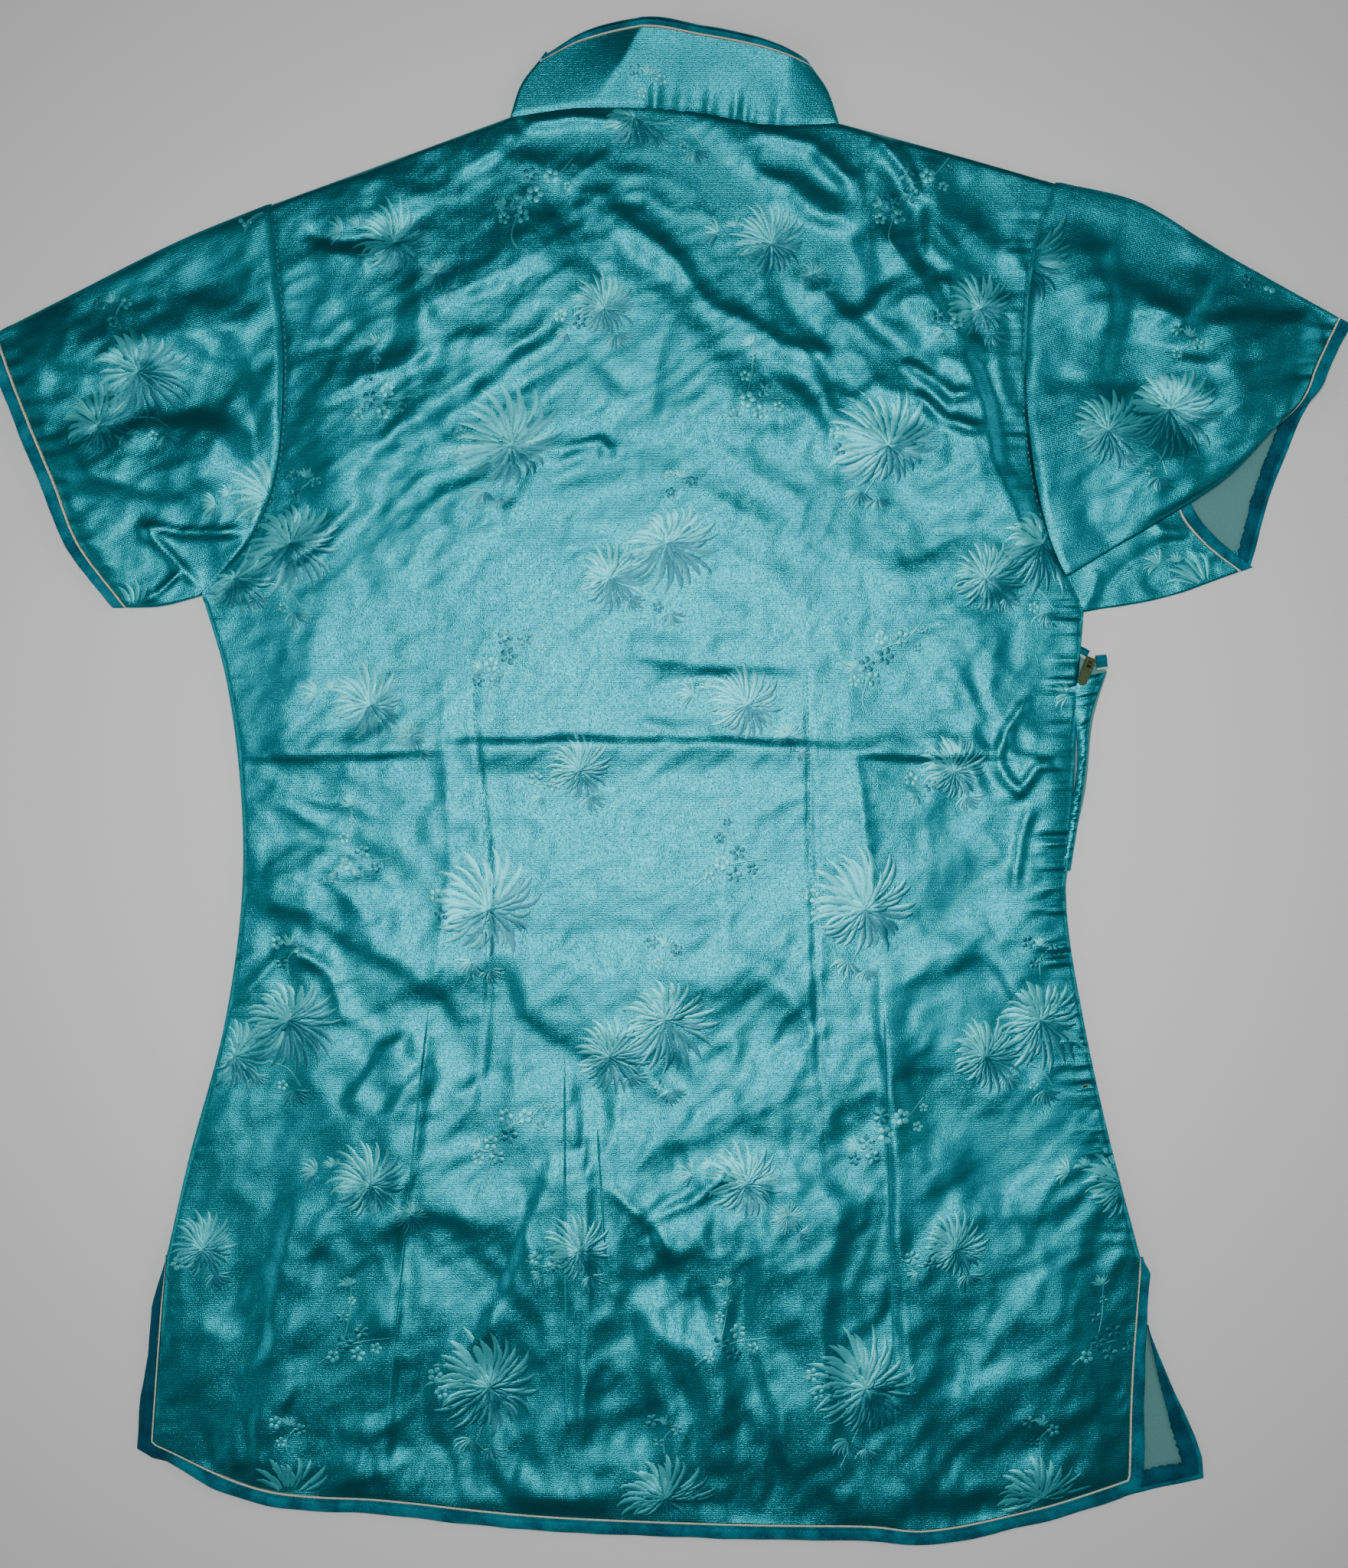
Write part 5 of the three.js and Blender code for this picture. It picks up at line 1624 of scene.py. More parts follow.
    def make(self, finish: Finish) -> Piece:
        """Builds the panel.

        Args:
            finish: The brocade's right side.

        Returns:
            The panel.
        """
        us = shares(self.across, 5, 5, 0.012)
        vs = shares(self.up, 4, 4, 0.010)
        left = side_places(SHOULDER_SEAMS, "left")
        right = side_places(SHOULDER_SEAMS, "right")
        top = Edge(((5, tuple(left)), (14, BACK_NECK), (5, tuple(right[::-1]))))
        plan = coons(whole(BACK_HEM), top, body_side("left"), body_side("right"), us, vs)
        self.grid = lifted(plan, self.heights(plan))
        cloth = BODY_LAY.on_cloth(plan).reshape(-1, 2)
        piece = mesh_object("back", self.grid.reshape(-1, 3), grid_faces(*plan.shape[:2]), cloth)
        return dress(piece, finish, "brocade", "back_panel")

    def figures(self) -> Piece:
        """Weaves the figures."""
        return Weaver(7).weave("back_figures", self.grid, BODY_LAY)

    def height_at(self, spots: Array) -> Array:
        """Finds the panel's height at places in plan."""
        flat = self.grid.reshape(-1, 3)
        out = []
        for spot in spots:
            k = np.argmin((flat[:, 0] - spot[0]) ** 2 + (flat[:, 1] - spot[1]) ** 2)
            out.append(flat[k, 2])
        return np.array(out)

    def trims(self) -> list[Piece]:
        """Binds the slits and the hem.

        Returns:
            The piping and the binding.
        """
        rows = self.grid[:, 0, 1] < BODY_LEVELS[2].left[1]
        left = self.grid[rows, 0][::-1]
        right = self.grid[self.grid[:, -1, 1] < BODY_LEVELS[2].right[1], -1]
        edge = evened(np.vstack([left, self.grid[0, 1:-1], right]), 2.6)
        edge[:, 2] = np.maximum(edge[:, 2], self.binding_lift)
        on_left, y = edge[:, 0] < 0, edge[:, 1]
        from_y, over = (np.where(on_left, *pair) for pair in zip(self.left_tuck, self.right_tuck))
        slit = np.clip((y - from_y) / over, 0, 1)
        length, least = (np.where(on_left, *pair) for pair in zip(self.left_taper, self.right_taper))
        begins = np.clip((BODY_LEVELS[2].left[1] - y) / length, least, 1)
        out = out_of(edge, 1) * ((1 - self.tucked * slit) * begins)[:, None]
        return Trim("back_hem", edge, out, sink=1.2).make()

    def stitches(self) -> Piece:
        """Sews the darts, and the sunk dots along both armholes."""
        lines = [evened(smooth(dart, np.linspace(0, 1, 80)), 3.0) for dart in self.DARTS]
        for side, inward in (("left", 2.0), ("right", -2.0)):
            hole = smooth(side_places(ARMHOLE_LEVELS, side)[1:], np.linspace(0, 0.97, 120))
            lines.append(evened(beside(hole, inward), 3.4))
        return stitching("back_stitches", lines, self.height_at)


def stitching(
    name: str, lines: Sequence[Array], height_at: Callable[[Array], Array], length: float = 2.0,
) -> Piece:
    """Makes rows of short stitches that lie on a panel.

    Args:
        name: The piece's name.
        lines: Where the stitches start, in plan, at equal steps.
        height_at: Gives the cloth's height at places in plan.
        length: The length of each stitch.

    Returns:
        All the stitches as one piece.
    """
    points, faces = [], []
    for line in lines:
        heights = height_at(line)
        run = unit(np.gradient(line, axis=0))
        for (x, y), (dx, dy), z in zip(line, run, heights):
            first = len(points)
            for along, lift in ((0, -0.25), (0.3, 0.16), (0.7, 0.16), (1, -0.25)):
                cx, cy = x + dx * length * along, y + dy * length * along
                for side, drop in ((-0.36, -0.15), (0, 0.2), (0.36, -0.15)):
                    points.append((cx - dy * side, cy + dx * side, z + lift + drop))
            for k in range(3):
                for s in range(2):
                    a = first + 3 * k + s
                    faces.append((a, a + 1, a + 4, a + 3))
    return dress(mesh_object(name, np.array(points), np.array(faces)), Thread(), "brocade")


@dataclass
class Shell:
    """A panel of two faces, the right side down and the wrong side up, closed round its edge."""

    name: str
    plan: Array
    upper: Array
    lower: Array

    def make(self, right_side: Finish, wrong_side: Finish, *nodes: str) -> Piece:
        """Builds the shell with its two finishes.

        Args:
            right_side: The brocade's right side.
            wrong_side: The brocade's wrong side.
            nodes: The frame's nodes that it stands for.

        Returns:
            The shell.
        """
        rows, columns = self.plan.shape[:2]
        top, bottom = lifted(self.plan, self.upper), lifted(self.plan, self.lower)
        count = rows * columns
        over = grid_faces(rows, columns)
        under = grid_faces(rows, columns, first=count)[:, ::-1]
        border = np.concatenate([
            np.arange(columns), np.arange(1, rows) * columns + columns - 1,
            (rows - 1) * columns + np.arange(columns - 2, -1, -1), np.arange(rows - 2, 0, -1) * columns,
        ])
        nxt = np.roll(border, -1)
        rim = np.stack([border + count, nxt + count, nxt, border], 1)
        points = np.concatenate([top.reshape(-1, 3), bottom.reshape(-1, 3)])
        cloth = np.tile(BODY_LAY.on_cloth(self.plan).reshape(-1, 2), (2, 1))
        piece = mesh_object(self.name, points, np.concatenate([over, under, rim]), cloth)
        dress(piece, right_side, "brocade", *nodes)
        piece.data.materials.append(wrong_side.material())
        slots = np.zeros(len(piece.data.polygons), np.int32)
        slots[: len(over)] = 1
        piece.data.polygons.foreach_set("material_index", slots)
        return piece


@dataclass
class FrontPanel:
    """The front, which lies underneath with its wrong side up."""

    across: int = 96
    up: int = 130
    thickness: float = 0.9
    off_floor: float = 0.12
    right_slit_top: float = -262.0
    start_taper: float = 70.0  # how far down the left slit the binding takes to reach its full width
    end_taper: float = 60.0  # the same at the right slit
    least_trim: float = 0.06  # the trim's share of its width at its two ends
    opening_from: float = 11.2 / 24  # where the opening starts, as a share of the top edge
    grid: Array = field(init=False, default=None)

    def make(self, right_side: Finish, wrong_side: Finish) -> Piece:
        """Builds the panel.

        Args:
            right_side: The brocade's right side.
            wrong_side: The brocade's wrong side.

        Returns:
            The panel.
        """
        us, vs = shares(self.across, 2, 2, 0.01), shares(self.up, 2, 2, 0.01)
        neck = front_neck("left")
        shoulder = side_places(SHOULDER_SEAMS, "left")
        top = Edge(((5, tuple(shoulder)), (6, tuple(neck)), (13, (neck[-1], *OPENING))))
        right = Edge(((2, FRONT_RIGHT_EDGE[:3]), (17, FRONT_RIGHT_EDGE[2:])))
        plan = coons(whole(FRONT_HEM), top, body_side("left"), right, us, vs)
        x, y = plan[..., 0], plan[..., 1]
        wave = 0.25 * Noise(41).at(x / 26, y / 26) + 0.15
        edge = from_edges(plan, 1)
        slit = y < BODY_LEVELS[2].left[1]
        rise = np.where(slit, 0, (HEIGHTS.seam - HEIGHTS.front) * (1 - rolled(edge, 4)))
        upper = HEIGHTS.front + wave * rolled(edge, 6) + rise
        self.grid = lifted(plan, upper)
        shell = Shell("front", plan, upper, np.maximum(upper - self.thickness, self.off_floor))
        return shell.make(right_side, wrong_side, "front_panel")

    def trims(self) -> list[Piece]:
        """Binds the slits, the hem and the slanting opening.

        Returns:
            The pipings, the bindings and the turned-in edge.
        """
        grid = self.grid
        left = grid[grid[:, 0, 1] < BODY_LEVELS[2].left[1], 0][::-1]
        right = grid[grid[:, -1, 1] < self.right_slit_top, -1]
        hem = evened(np.vstack([left, grid[0, 1:-1], right]), 3.0)
        hem[:, 2] = 1.0
        end_run = np.cumsum(np.linalg.norm(np.diff(hem[::-1, :2], axis=0, prepend=hem[-1:, :2]), axis=1))[::-1]
        ends = np.clip(end_run / self.end_taper, self.least_trim, 1)
        starts = np.clip((BODY_LEVELS[2].left[1] - hem[:, 1]) / self.start_taper, self.least_trim, 1)
        out = out_of(hem, 1) * (ends * np.where(hem[:, 0] < 0, starts, 1))[:, None]
        made = Trim("front_hem", hem, out, seed=4, thickness=1.2).make()
        made.append(Facing("front_hem_facing", hem, out).make())
        opening = evened(grid[-1, round(self.across * self.opening_from):], 3.0)[:-4]
        opening[:, 2] = 0.9
        return made + Trim("opening", opening, out_of(opening, -1), width=3.4, seed=6, thickness=0.6).make()


@dataclass
class Facing:
    """The binding's raw edge where it is turned in on the wrong side: a ragged strip inside a bound edge."""

    name: str
    edge: Array
    out: Array
    width: float = 2.2
    cover: float = 5.9
    ragged: float = 1.1
    seed: int = 91

    def make(self) -> Piece:
        """Builds the strip.

        Returns:
            The strip.
        """
        edge = evened(np.hstack([self.edge, self.out]), 1.1)
        line, out = edge[:, :3], edge[:, 3:]
        run = length_along(line[:, :2])
        wander = Noise(self.seed)
        inner = self.width + 0.8 * wander.at(run / 17, run * 0 + 3) + self.ragged * wander.at(run / 1.9, run * 0 + 7)
        profile = (
            (run * 0 + self.cover, 0.5), (run * 0 + 0.8 * self.cover, 1.4), (run * 0 + 0.4 * self.cover, 1.6),
            (run * 0, 1.7), (-0.8 * inner, 1.2), (-inner, 0.7),
        )
        rows = []
        for distance, height in profile:
            spot = line.copy()
            spot[:, :2] += out * distance[:, None]
            spot[:, 2] += height
            rows.append(spot)
        grid = np.stack(rows, axis=1)
        piece = mesh_object(self.name, grid.reshape(-1, 3), grid_faces(*grid.shape[:2])[:, ::-1])
        return dress(piece, Binding(light=(0.005, 0.15, 0.22, 1), dark=(0.0, 0.03, 0.06, 1)), "binding")


@dataclass
class Underlap:
    """The smaller front piece behind the slanting opening."""

    cells: int = 26

    def make(self, right_side: Finish, wrong_side: Finish) -> Piece:
        """Builds the panel.

        Args:
            right_side: The brocade's right side.
            wrong_side: The brocade's wrong side.

        Returns:
            The panel.
        """
        us, vs = shares(self.cells), shares(self.cells)
        neck = front_neck("right")[::-1]
        hole = beside(smooth(side_places(ARMHOLE_LEVELS, "right"), np.linspace(0, 1, 40)), -0.8)
        centre = Edge(((3, (UNDERLAP_LOWER_EDGE[0], neck[0])), (6, tuple(neck))))
        side = Edge(((1, (UNDERLAP_LOWER_EDGE[-1], tuple(hole[0]))), (8, tuple(map(tuple, hole)))))
        shoulder = whole(side_places(SHOULDER_SEAMS, "right")[::-1])
        plan = coons(whole(UNDERLAP_LOWER_EDGE), shoulder, centre, side, us, vs)
        upper = np.full(plan.shape[:2], HEIGHTS.inner + 0.3)
        return Shell("underlap", plan, upper, upper - 0.6).make(right_side, wrong_side, "front_underlap")


@dataclass
class LeftSleeve:
    """The left sleeve: a flattened tube set into the armhole."""

    along: int = 60
    across: int = 90
    grid: Array = field(init=False, default=None)

    def make(self, finish: Finish) -> list[Piece]:
        """Builds the sleeve and binds its cuff.

        Args:
            finish: The brocade's right side.

        Returns:
            The sleeve, then what is sewn or woven into it.
        """
        us, vs = shares(self.across), shares(self.along)
        hole = smooth(side_places(ARMHOLE_LEVELS, "left")[::-1], np.linspace(0, 1, 60))
        seam = beside(hole, -0.5)
        cut = LEFT_SLEEVE
        top = whole((tuple(seam[0]), *cut["top"][1:]))
        under = whole((tuple(seam[-1]), *cut["under"][1:]))
        plan = coons(whole(seam), whole(cut["cuff"]), top, under, us, vs)
        edge = from_edges(plan, 1)
        ends = from_edges(plan, 0)
        relief = RELIEF.at(plan[..., 0], plan[..., 1]) * rolled(edge, 12) * (0.3 + 0.7 * rolled(ends, 8))
        base = HEIGHTS.back + 0.8 * HEIGHTS.rise * (1 - np.exp(-edge / HEIGHTS.spread))
        height = above(base + relief, 2.4)
        height -= 0.8 * np.exp(-((from_edge(plan, 0, False) / 1.2) ** 2))
        height += cuff_puckers(plan, from_edge(plan, 0, True), 51)
        upper = lifted(plan, np.maximum(height, 1.9))
        lower = lifted(plan[:, ::-1], HEIGHTS.floor)
        self.grid = folded([upper, lower], ring=True)
        piece = ring_object("left_sleeve", self.grid, plan.shape[1], LEFT_SLEEVE_LAY)
        dress(piece, finish, "brocade", "sleeve_left")
        figures = Weaver(8).weave("left_sleeve_figures", upper, LEFT_SLEEVE_LAY)
        edge_line = np.vstack([self.grid[-1], self.grid[-1][:1]])
        before = np.vstack([self.grid[-4], self.grid[-4][:1]])
        out = unit(edge_line[:, :2] - before[:, :2])
        return [piece, figures, *Trim("sleeve_left", edge_line, out, seed=8, thickness=1.1, width=5.6).make()]


def cuff_puckers(plan: Array, distance: Array, seed: int) -> Array:
    """Small gathers where a bound edge draws the cloth in."""
    wander = Noise(seed)
    run = plan[..., 1]
    phase = 2 * math.pi * run / 9.5 + 3 * wander.at(run / 17, run * 0)
    return 0.35 * np.sin(phase) * np.exp(-((distance - 3) / 6) ** 2)


def ring_object(name: str, grid: Array, upper: int, lay: Lay) -> Piece:
    """Makes a tube of cloth from a folded grid whose first `upper` columns are its upper half."""
    rows, columns = grid.shape[:2]
    cloth = lay.on_cloth(grid)
    cloth[:, upper:, 0] += 61.0
    faces = grid_faces(rows, columns, ring=True)
    return mesh_object(name, grid.reshape(-1, 3), faces, cloth.reshape(-1, 2))


@dataclass
class RightSleeve:
    """The right sleeve: its upper half rides over a pleat, and its flap and the inside of its front show below."""

    along: int = 60
    across: int = 84
    narrow: int = 44
    edge_share: float = 0.91
    root_share: float = 0.84
    grid: Array = field(init=False, default=None)

    def make(self, finish: Finish, wrong_side: Finish) -> list[Piece]:
        """Builds the sleeve's four layers and binds its cuff.

        Args:
            finish: The brocade's right side.
            wrong_side: The brocade's wrong side.

        Returns:
            The sleeve, its inside, then what is sewn or woven into it.
        """
        cut = RIGHT_SLEEVE
        hole = smooth(side_places(ARMHOLE_LEVELS, "right")[::-1], np.linspace(0, 1, 60))
        seam = whole(beside(hole, 0.5))

        def seam_part(start: float, end: float) -> Edge:
            """Gives the armhole's seam between two shares of its length."""
            return whole(seam.at(np.linspace(start, end, 30)))

        crown, edge_start, root_start, armpit = seam.at(np.array([0, self.edge_share, self.root_share, 1]))
        top = whole((tuple(crown), *cut["top"][1:]))
        outer_fold = whole((tuple(edge_start), *cut["pleat edge"]))
        inner_fold = whole((tuple(root_start), *cut["pleat root"]))
        under = whole((tuple(armpit), *cut["under"]))
        us, vs, narrow = shares(self.across), shares(self.along), shares(self.narrow)

        upper_plan = coons(seam_part(0, self.edge_share), whole(cut["cuff"]), top, outer_fold, us, vs)
        pleat_plan = coons(seam_part(self.edge_share, self.root_share), whole(cut["pleat cuff"]), outer_fold,
                           inner_fold, narrow, vs)
        flap_plan = coons(seam_part(self.root_share, 1), whole(cut["flap cuff"]), inner_fold, under, narrow, vs)
        floor_plan = coons(seam_part(1, 0), whole(cut["front cuff"]), under, top, us, vs)

        edge = from_edges(upper_plan, 1)
        ends = from_edges(upper_plan, 0)
        lift = np.clip((us - 0.4) / 0.25, 0, 1)
        lift = (lift * lift * (3 - 2 * lift))[None]
        base = HEIGHTS.back + (HEIGHTS.lifted - HEIGHTS.back) * lift
        base = base + 0.5 * HEIGHTS.rise * (1 - np.exp(-edge / HEIGHTS.spread))
        relief = RELIEF.at(upper_plan[..., 0], upper_plan[..., 1])
        relief = relief * (0.45 + 0.55 * rolled(edge, 6)) * (0.3 + 0.7 * rolled(ends, 8))
        height = above(base + relief, 2.4) - 0.8 * np.exp(-((from_edge(upper_plan, 0, False) / 1.2) ** 2))
        height += cuff_puckers(upper_plan, from_edge(upper_plan, 0, True), 52)
        upper = lifted(upper_plan, np.maximum(height, 1.9))
        x, y = flap_plan[..., 0], flap_plan[..., 1]
        ripple = 0.5 * Noise(61).at(x / 13, y / 13) + 0.5 * sum(fold.height(x, y, 0 * x) for fold in FLAP_FOLDS)
        flap = lifted(flap_plan, above(HEIGHTS.inner + 0.7 + ripple, 1.9, 0.3))
        layers = [upper, lifted(pleat_plan, HEIGHTS.pleat), flap, lifted(floor_plan, HEIGHTS.floor + 0.2)]
        self.grid = folded(layers, ring=True)
        piece = ring_object("right_sleeve", self.grid, upper.shape[1], RIGHT_SLEEVE_LAY)
        dress(piece, finish, "brocade", "sleeve_right")
        figures = [Weaver(9).weave("right_sleeve_figures", upper, RIGHT_SLEEVE_LAY),
                   Weaver(10).weave("right_flap_figures", flap[:, ::-1], RIGHT_SLEEVE_LAY)]
        lining = self.inside(floor_plan, wrong_side)
        return [piece, lining, *figures, *self.trims(upper, flap, layers[3])]

    def inside(self, floor_plan: Array, wrong_side: Finish) -> Piece:
        """The wrong side of the sleeve's front half, which shows between the folds."""
        plan = floor_plan[self.along // 3:, self.across // 12:]
        height = HEIGHTS.floor + 0.6 + 0.2 * Noise(62).at(plan[..., 0] / 14, plan[..., 1] / 14)
        points = lifted(plan, height)
        faces = grid_faces(*plan.shape[:2])
        piece = mesh_object("right_sleeve_inside", points.reshape(-1, 3), faces[:, ::-1], plan.reshape(-1, 2))
        return dress(piece, wrong_side, "brocade")

    def trims(self, upper: Array, flap: Array, floor: Array) -> list[Piece]:
        """Binds the cuff: one run round the front and the upper half, and one along the flap.

        Args:
            upper: The upper half's grid.
            flap: The flap's.
            floor: The front half's.

        Returns:
            The piping, the binding and the turned-in edge.
        """
        run = folded([flap, floor, upper], ring=False)
        end, before = run[-1][1:-1], run[-5][1:-1]
        out = unit(end[:, :2] - before[:, :2])
        made = Trim("sleeve_right", end, out, seed=9, thickness=1.1, width=6.0).make()
        inside = floor[:, ::-1]
        away = unit(inside[-1, :, :2] - inside[-4, :, :2])
        return [*made, Facing("sleeve_right_facing", inside[-1], away, width=1.4, cover=5.4, seed=93).make()]


@dataclass
class Collar:
    """The stand collar, pressed flat with its back half uppermost."""

    across: int = 120
    up: int = 34
    grid: Array = field(init=False, default=None)
    RISE = 6.0
    BREAK = (-37.0, 0.61, 332.0)  # where the break starts, how it leans, and at what height in plan
    PUCKERS = ((-9, 3.0, -1.3), (4, 3.5, 0.9), (18, 3.0, -1.2), (31, 2.6, -1.5), (39, 2.4, -1.0), (52, 3.0, -0.8))

    def make(self, finish: Finish) -> list[Piece]:
        """Builds the collar and its bound top.

        Args:
            finish: The brocade's right side.

        Returns:
            The collar, then what is sewn or woven into it.
        """
        us, vs = shares(self.across), shares(self.up)
        folds = {side: whole(COLLAR_FOLDS[side]) for side in COLLAR_FOLDS}
        back_plan = coons(whole(COLLAR_SEAM), whole(COLLAR_TOP), folds["left"], folds["right"], us, vs)
        edge = from_edges(back_plan, 1)
        low = from_edge(back_plan, 0, False)
        height = HEIGHTS.back + 0.6 + self.stand(back_plan, low) * rolled(edge, 10)
        back = lifted(back_plan, height)
        left, right = self.half("left", HEIGHTS.floor + 0.3), self.half("right", HEIGHTS.front + 0.4)
        self.grid = folded([left[:, ::-1], back, right], ring=False)
        cloth = COLLAR_LAY.on_cloth(self.grid).reshape(-1, 2)
        piece = mesh_object("collar", self.grid.reshape(-1, 3), grid_faces(*self.grid.shape[:2]), cloth)
        dress(piece, finish, "brocade", "collar_band")
        figures = Weaver(11).weave("collar_figures", back, COLLAR_LAY)
        end, before = self.grid[-1], self.grid[-4]
        out = unit(end[:, :2] - before[:, :2])
        return [piece, figures, *Trim("collar", end, out, width=4.2, piping_radius=0.5, seed=12, thickness=1.0).make()]

    def stand(self, plan: Array, low: Array) -> Array:
        """How the stiff band stands: tilted up to its top, and broken in one slanting line at its left.

        Args:
            plan: The band's grid in plan.
            low: How far each point is from the neck seam.

        Returns:
            The height that it adds.
        """
        x, y = plan[..., 0], plan[..., 1]
        past = x - (self.BREAK[0] + (y - self.BREAK[2]) * self.BREAK[1])
        tilt = self.RISE * np.clip(low / 40, 0, 1.1)
        left = tilt * np.clip(1 + past / 28, 0, 1) ** 2
        share = np.clip(past / 5 + 0.5, 0, 1)
        share = share * share * (3 - 2 * share)
        height = left * (1 - share) + tilt * share
        height *= 1 - np.clip((x - 56) / 22, 0, 1) ** 1.4
        for place, width, rise in self.PUCKERS:
            lean = place + 0.1 * (y - 330)
            height += rise * np.exp(-(((x - lean) / width) ** 2)) * np.exp(-((low / 13) ** 2))
        return height - 0.8 * np.exp(-((low / 2.0) ** 2)) + 0.5 * Noise(71).at(x / 15, y / 22) * share

    def half(self, side: str, height: float) -> Array:
        """One front half of the collar, which lies under the back.

        Args:
            side: left or right.
            height: How high it lies.

        Returns:
            Its grid with heights.
        """
        sign = -1 if side == "left" else 1
        us, vs = shares(self.across // 2), shares(self.up)
        fold = COLLAR_FOLDS[side]
        neck = beside(smooth(front_neck(side), np.linspace(0, 1, 24)), sign * 0.6)
        seam = whole((fold[0], *map(tuple, neck[3:])))
        top = whole((fold[-1], *((sign * x, y) for x, y in COLLAR_FRONT_TOP)))
        centre = whole((tuple(neck[-1]), (sign * COLLAR_FRONT_TOP[-1][0], COLLAR_FRONT_TOP[-1][1])))
        return lifted(coons(seam, top, whole(fold), centre, us, vs), height)


# ---- The side zip ---------------------------------------------------------------------------------------------------
@dataclass
class SideZip:
    """The zip at the wearer's right: tape, teeth, the front's turned edge, slider and pull."""

    tooth_pitch: float = 1.9
    tooth_heights: Place = (1.6, 2.7)
    tape_height: float = 2.0
    edge_rows: int = 150
    cloth_shift: float = 40.0  # how far along the cloth the turned edge was cut
    TAPE_SECTION = ((-7.5, 0), (-1.2, 0.1), (-0.4, 0.5), (0.4, 0.5), (2.6, 0.1))
    TOOTH = ((-0.5, -1.1), (0.5, -1.1), (0.5, 1.1), (-0.5, 1.1))
    TOOTH_FACES = ((0, 3, 2, 1), (4, 5, 6, 7), (0, 1, 5, 4), (1, 2, 6, 5), (2, 3, 7, 6), (3, 0, 4, 7))
    EDGE_SECTION = ((-1.7, 2.3), (-1.4, 3.1), (-0.3, 3.6), (0.35, 3.6), (0.75, 3.0), (1.0, 1.6), (0.9, 0.5))
    TIP = ((208.0, 54.0), (213.4, 54.6))

    def make(self, finish: Finish) -> list[Piece]:
        """Builds what is sewn, and dresses the metal."""
        made = [self.tape(), self.teeth(), self.turned_edge(finish), *self.bound_tip()]
        for node in ("zip_slider", "zip_pull"):
            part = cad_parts[node]
            part.data.materials.clear()
            part.data.materials.append(Metal().material())
        return made

    def tape(self) -> Piece:
        """The tape under the back's edge."""
        line = smooth(ZIP_LINE, np.linspace(0, 1, 90))
        side = out_of(line, 1)
        grid = np.stack([lifted(line + side * out, self.tape_height + rise) for out, rise in self.TAPE_SECTION], axis=1)
        piece = mesh_object("tape", grid.reshape(-1, 3), grid_faces(*grid.shape[:2])[:, ::-1])
        return dress(piece, Tape(), "zip_tape", "zip_tape")

    def teeth(self) -> Piece:
        """The row of small closed teeth.

        Returns:
            All the teeth as one piece.
        """
        line = evened(smooth(ZIP_LINE, np.linspace(0, 1, 200)), self.tooth_pitch)
        run = unit(np.gradient(line, axis=0))
        points, faces = [], []
        for (x, y), (dx, dy) in zip(line, run):
            first = len(points)
            for height in self.tooth_heights:
                for along, side in self.TOOTH:
                    points.append((x + dx * along - dy * side, y + dy * along + dx * side, height))
            faces.extend(tuple(first + corner for corner in face) for face in self.TOOTH_FACES)
        piece = mesh_object("teeth", np.array(points), np.array(faces))
        return dress(piece, Metal(), "zip_metal", "zip_teeth")

    def turned_edge(self, finish: Finish) -> Piece:
        """The front's cloth, rolled over beside the zip, with cross puckers.

        Args:
            finish: The brocade's right side.

        Returns:
            The rolled strip.
        """
        inner = smooth(SIDE_TURN_INNER, np.linspace(0, 1, self.edge_rows))
        outer = smooth(SIDE_TURN_OUTER, np.linspace(0, 1, self.edge_rows))
        wander = Noise(81)
        y = inner[:, 1]
        pucker = 1.2 * wander.at(y / 4.2, y * 0) + 0.6 * wander.at(y / 1.9, y * 0 + 5)
        columns = []
        for share, height in self.EDGE_SECTION:
            spot = inner + (outer - inner) * share
            bulge = pucker * math.sin(math.pi * min(max((share + 0.7) / 1.7, 0), 1))
            columns.append(lifted(spot, height + bulge))
        grid = np.stack(columns, axis=1)
        cloth = BODY_LAY.on_cloth(grid).reshape(-1, 2) + np.array([0.0, self.cloth_shift])
        piece = mesh_object("side_turn", grid.reshape(-1, 3), grid_faces(*grid.shape[:2])[:, ::-1], cloth)
        return dress(piece, finish, "brocade", "front_side_turn")

    def bound_tip(self) -> list[Piece]:
        """The short bound end of the opening at the top of the zip."""
        edge = lifted(smooth(self.TIP, np.linspace(0, 1, 7)), HEIGHTS.seam)
        return Trim("opening_end", edge, out_of(edge, -1), width=6.0, seed=14, thickness=1.8).make()


# ---- The studio -----------------------------------------------------------------------------------------------------
@dataclass(frozen=True)
class Lamp:
    """One soft square lamp, in metres and watts."""

    name: str
    place: tuple[float, float, float]
    size: float
    power: float
    spread: float = math.pi


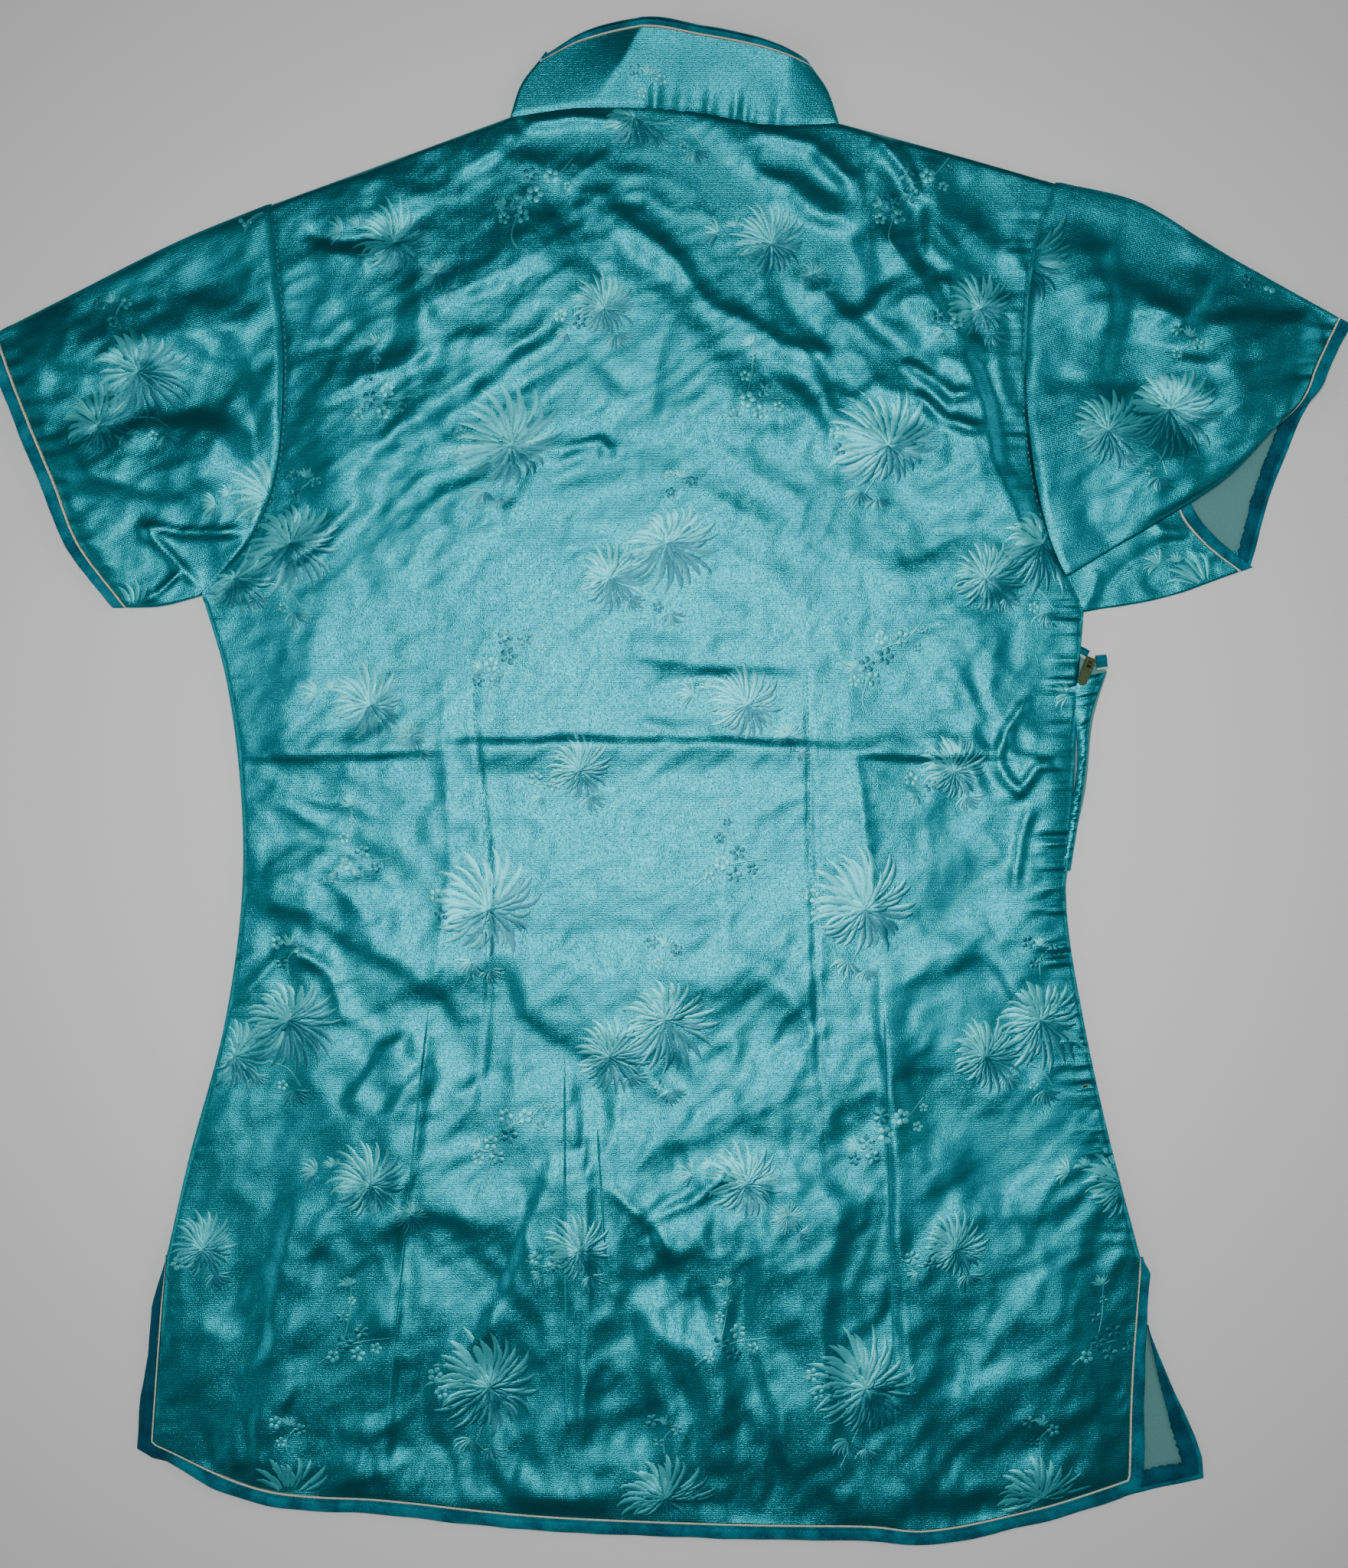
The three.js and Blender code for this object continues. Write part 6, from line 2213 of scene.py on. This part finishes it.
@dataclass
class Studio:
    """A pale floor, soft lights and a camera straight above."""

    view_height: float = 1.25
    frame_height: float = 0.768
    middle: Place = (0.0033, -0.0014)
    sensor: float = 36.0
    floor_half: float = 3.0
    world_colour: Colour = (0.72, 0.80, 0.84, 1)
    world_strength: float = 0.065
    LAMPS = (
        Lamp("key", (-0.025, 0.05, 1.30), 0.34, 1.85, spread=1.15),
        Lamp("left side", (-2.4, -0.5, 1.15), 1.4, 15),
        Lamp("right side", (2.4, 0.5, 1.15), 1.4, 15),
    )

    def camera(self) -> None:
        """Places the camera."""
        data = bpy.data.cameras.new("camera")
        data.sensor_width = self.sensor
        data.lens = self.sensor * self.view_height / self.frame_height
        made = bpy.data.objects.new("camera", data)
        made.location = (*self.middle, self.view_height + HEIGHTS.back * MM)
        bpy.context.scene.collection.objects.link(made)
        bpy.context.scene.camera = made

    def light(self, lamp: Lamp) -> None:
        """Adds a lamp that points at the middle of the floor.

        Args:
            lamp: The lamp's place, size and power.
        """
        data = bpy.data.lights.new(lamp.name, "AREA")
        data.size, data.energy, data.spread = lamp.size, lamp.power, lamp.spread
        made = bpy.data.objects.new(lamp.name, data)
        made.location = lamp.place
        made.rotation_mode = "QUATERNION"
        made.rotation_quaternion = made.location.to_track_quat("Z", "Y")
        bpy.context.scene.collection.objects.link(made)

    def make(self) -> None:
        """Sets the whole studio up."""
        self.camera()
        for lamp in self.LAMPS:
            self.light(lamp)
        world = bpy.data.worlds.new("studio")
        bpy.context.scene.world = world
        world.use_nodes = True
        back = world.node_tree.nodes["Background"]
        back.inputs["Color"].default_value = self.world_colour
        back.inputs["Strength"].default_value = self.world_strength
        half = self.floor_half
        mesh = bpy.data.meshes.new("floor")
        mesh.from_pydata([(-half, -half, 0), (half, -half, 0), (half, half, 0), (-half, half, 0)], [], [(0, 1, 2, 3)])
        floor = bpy.data.objects.new("floor", mesh)
        floor.data.materials.append(PlainFloor().material())
        bpy.context.scene.collection.objects.link(floor)
        floor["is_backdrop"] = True


def write_sizes() -> None:
    """Gathers the frame's box and the dressed blouse's box, and keeps neither."""
    boxes = {"cad": CAD_BOX, "visual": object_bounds()}
    {key: [list(corner) for corner in box] for key, box in boxes.items()}


def main() -> None:
    """Builds the blouse piece by piece."""
    logging.basicConfig(level=logging.INFO, format="%(name)s %(message)s")
    Studio().make()
    body, wrong_side = Brocade(), WrongSide()
    back = BackPanel()
    back_piece = back.make(body)
    back_trims = [*back.trims(), back.stitches(), back.figures()]
    front = FrontPanel()
    front_piece = front.make(body, wrong_side)
    front_trims = front.trims()
    underlap = Underlap().make(body, wrong_side)
    left, *left_trims = LeftSleeve().make(body)
    right, inside, *right_trims = RightSleeve().make(body, wrong_side)
    collar, *collar_trims = Collar().make(body)
    tape, teeth, turned, *tip = SideZip().make(body)
    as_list(front_trims)
    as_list(left_trims)
    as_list(right_trims)
    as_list(collar_trims)
    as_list(tip)
    write_sizes()


if __name__ == "__main__":
    main()
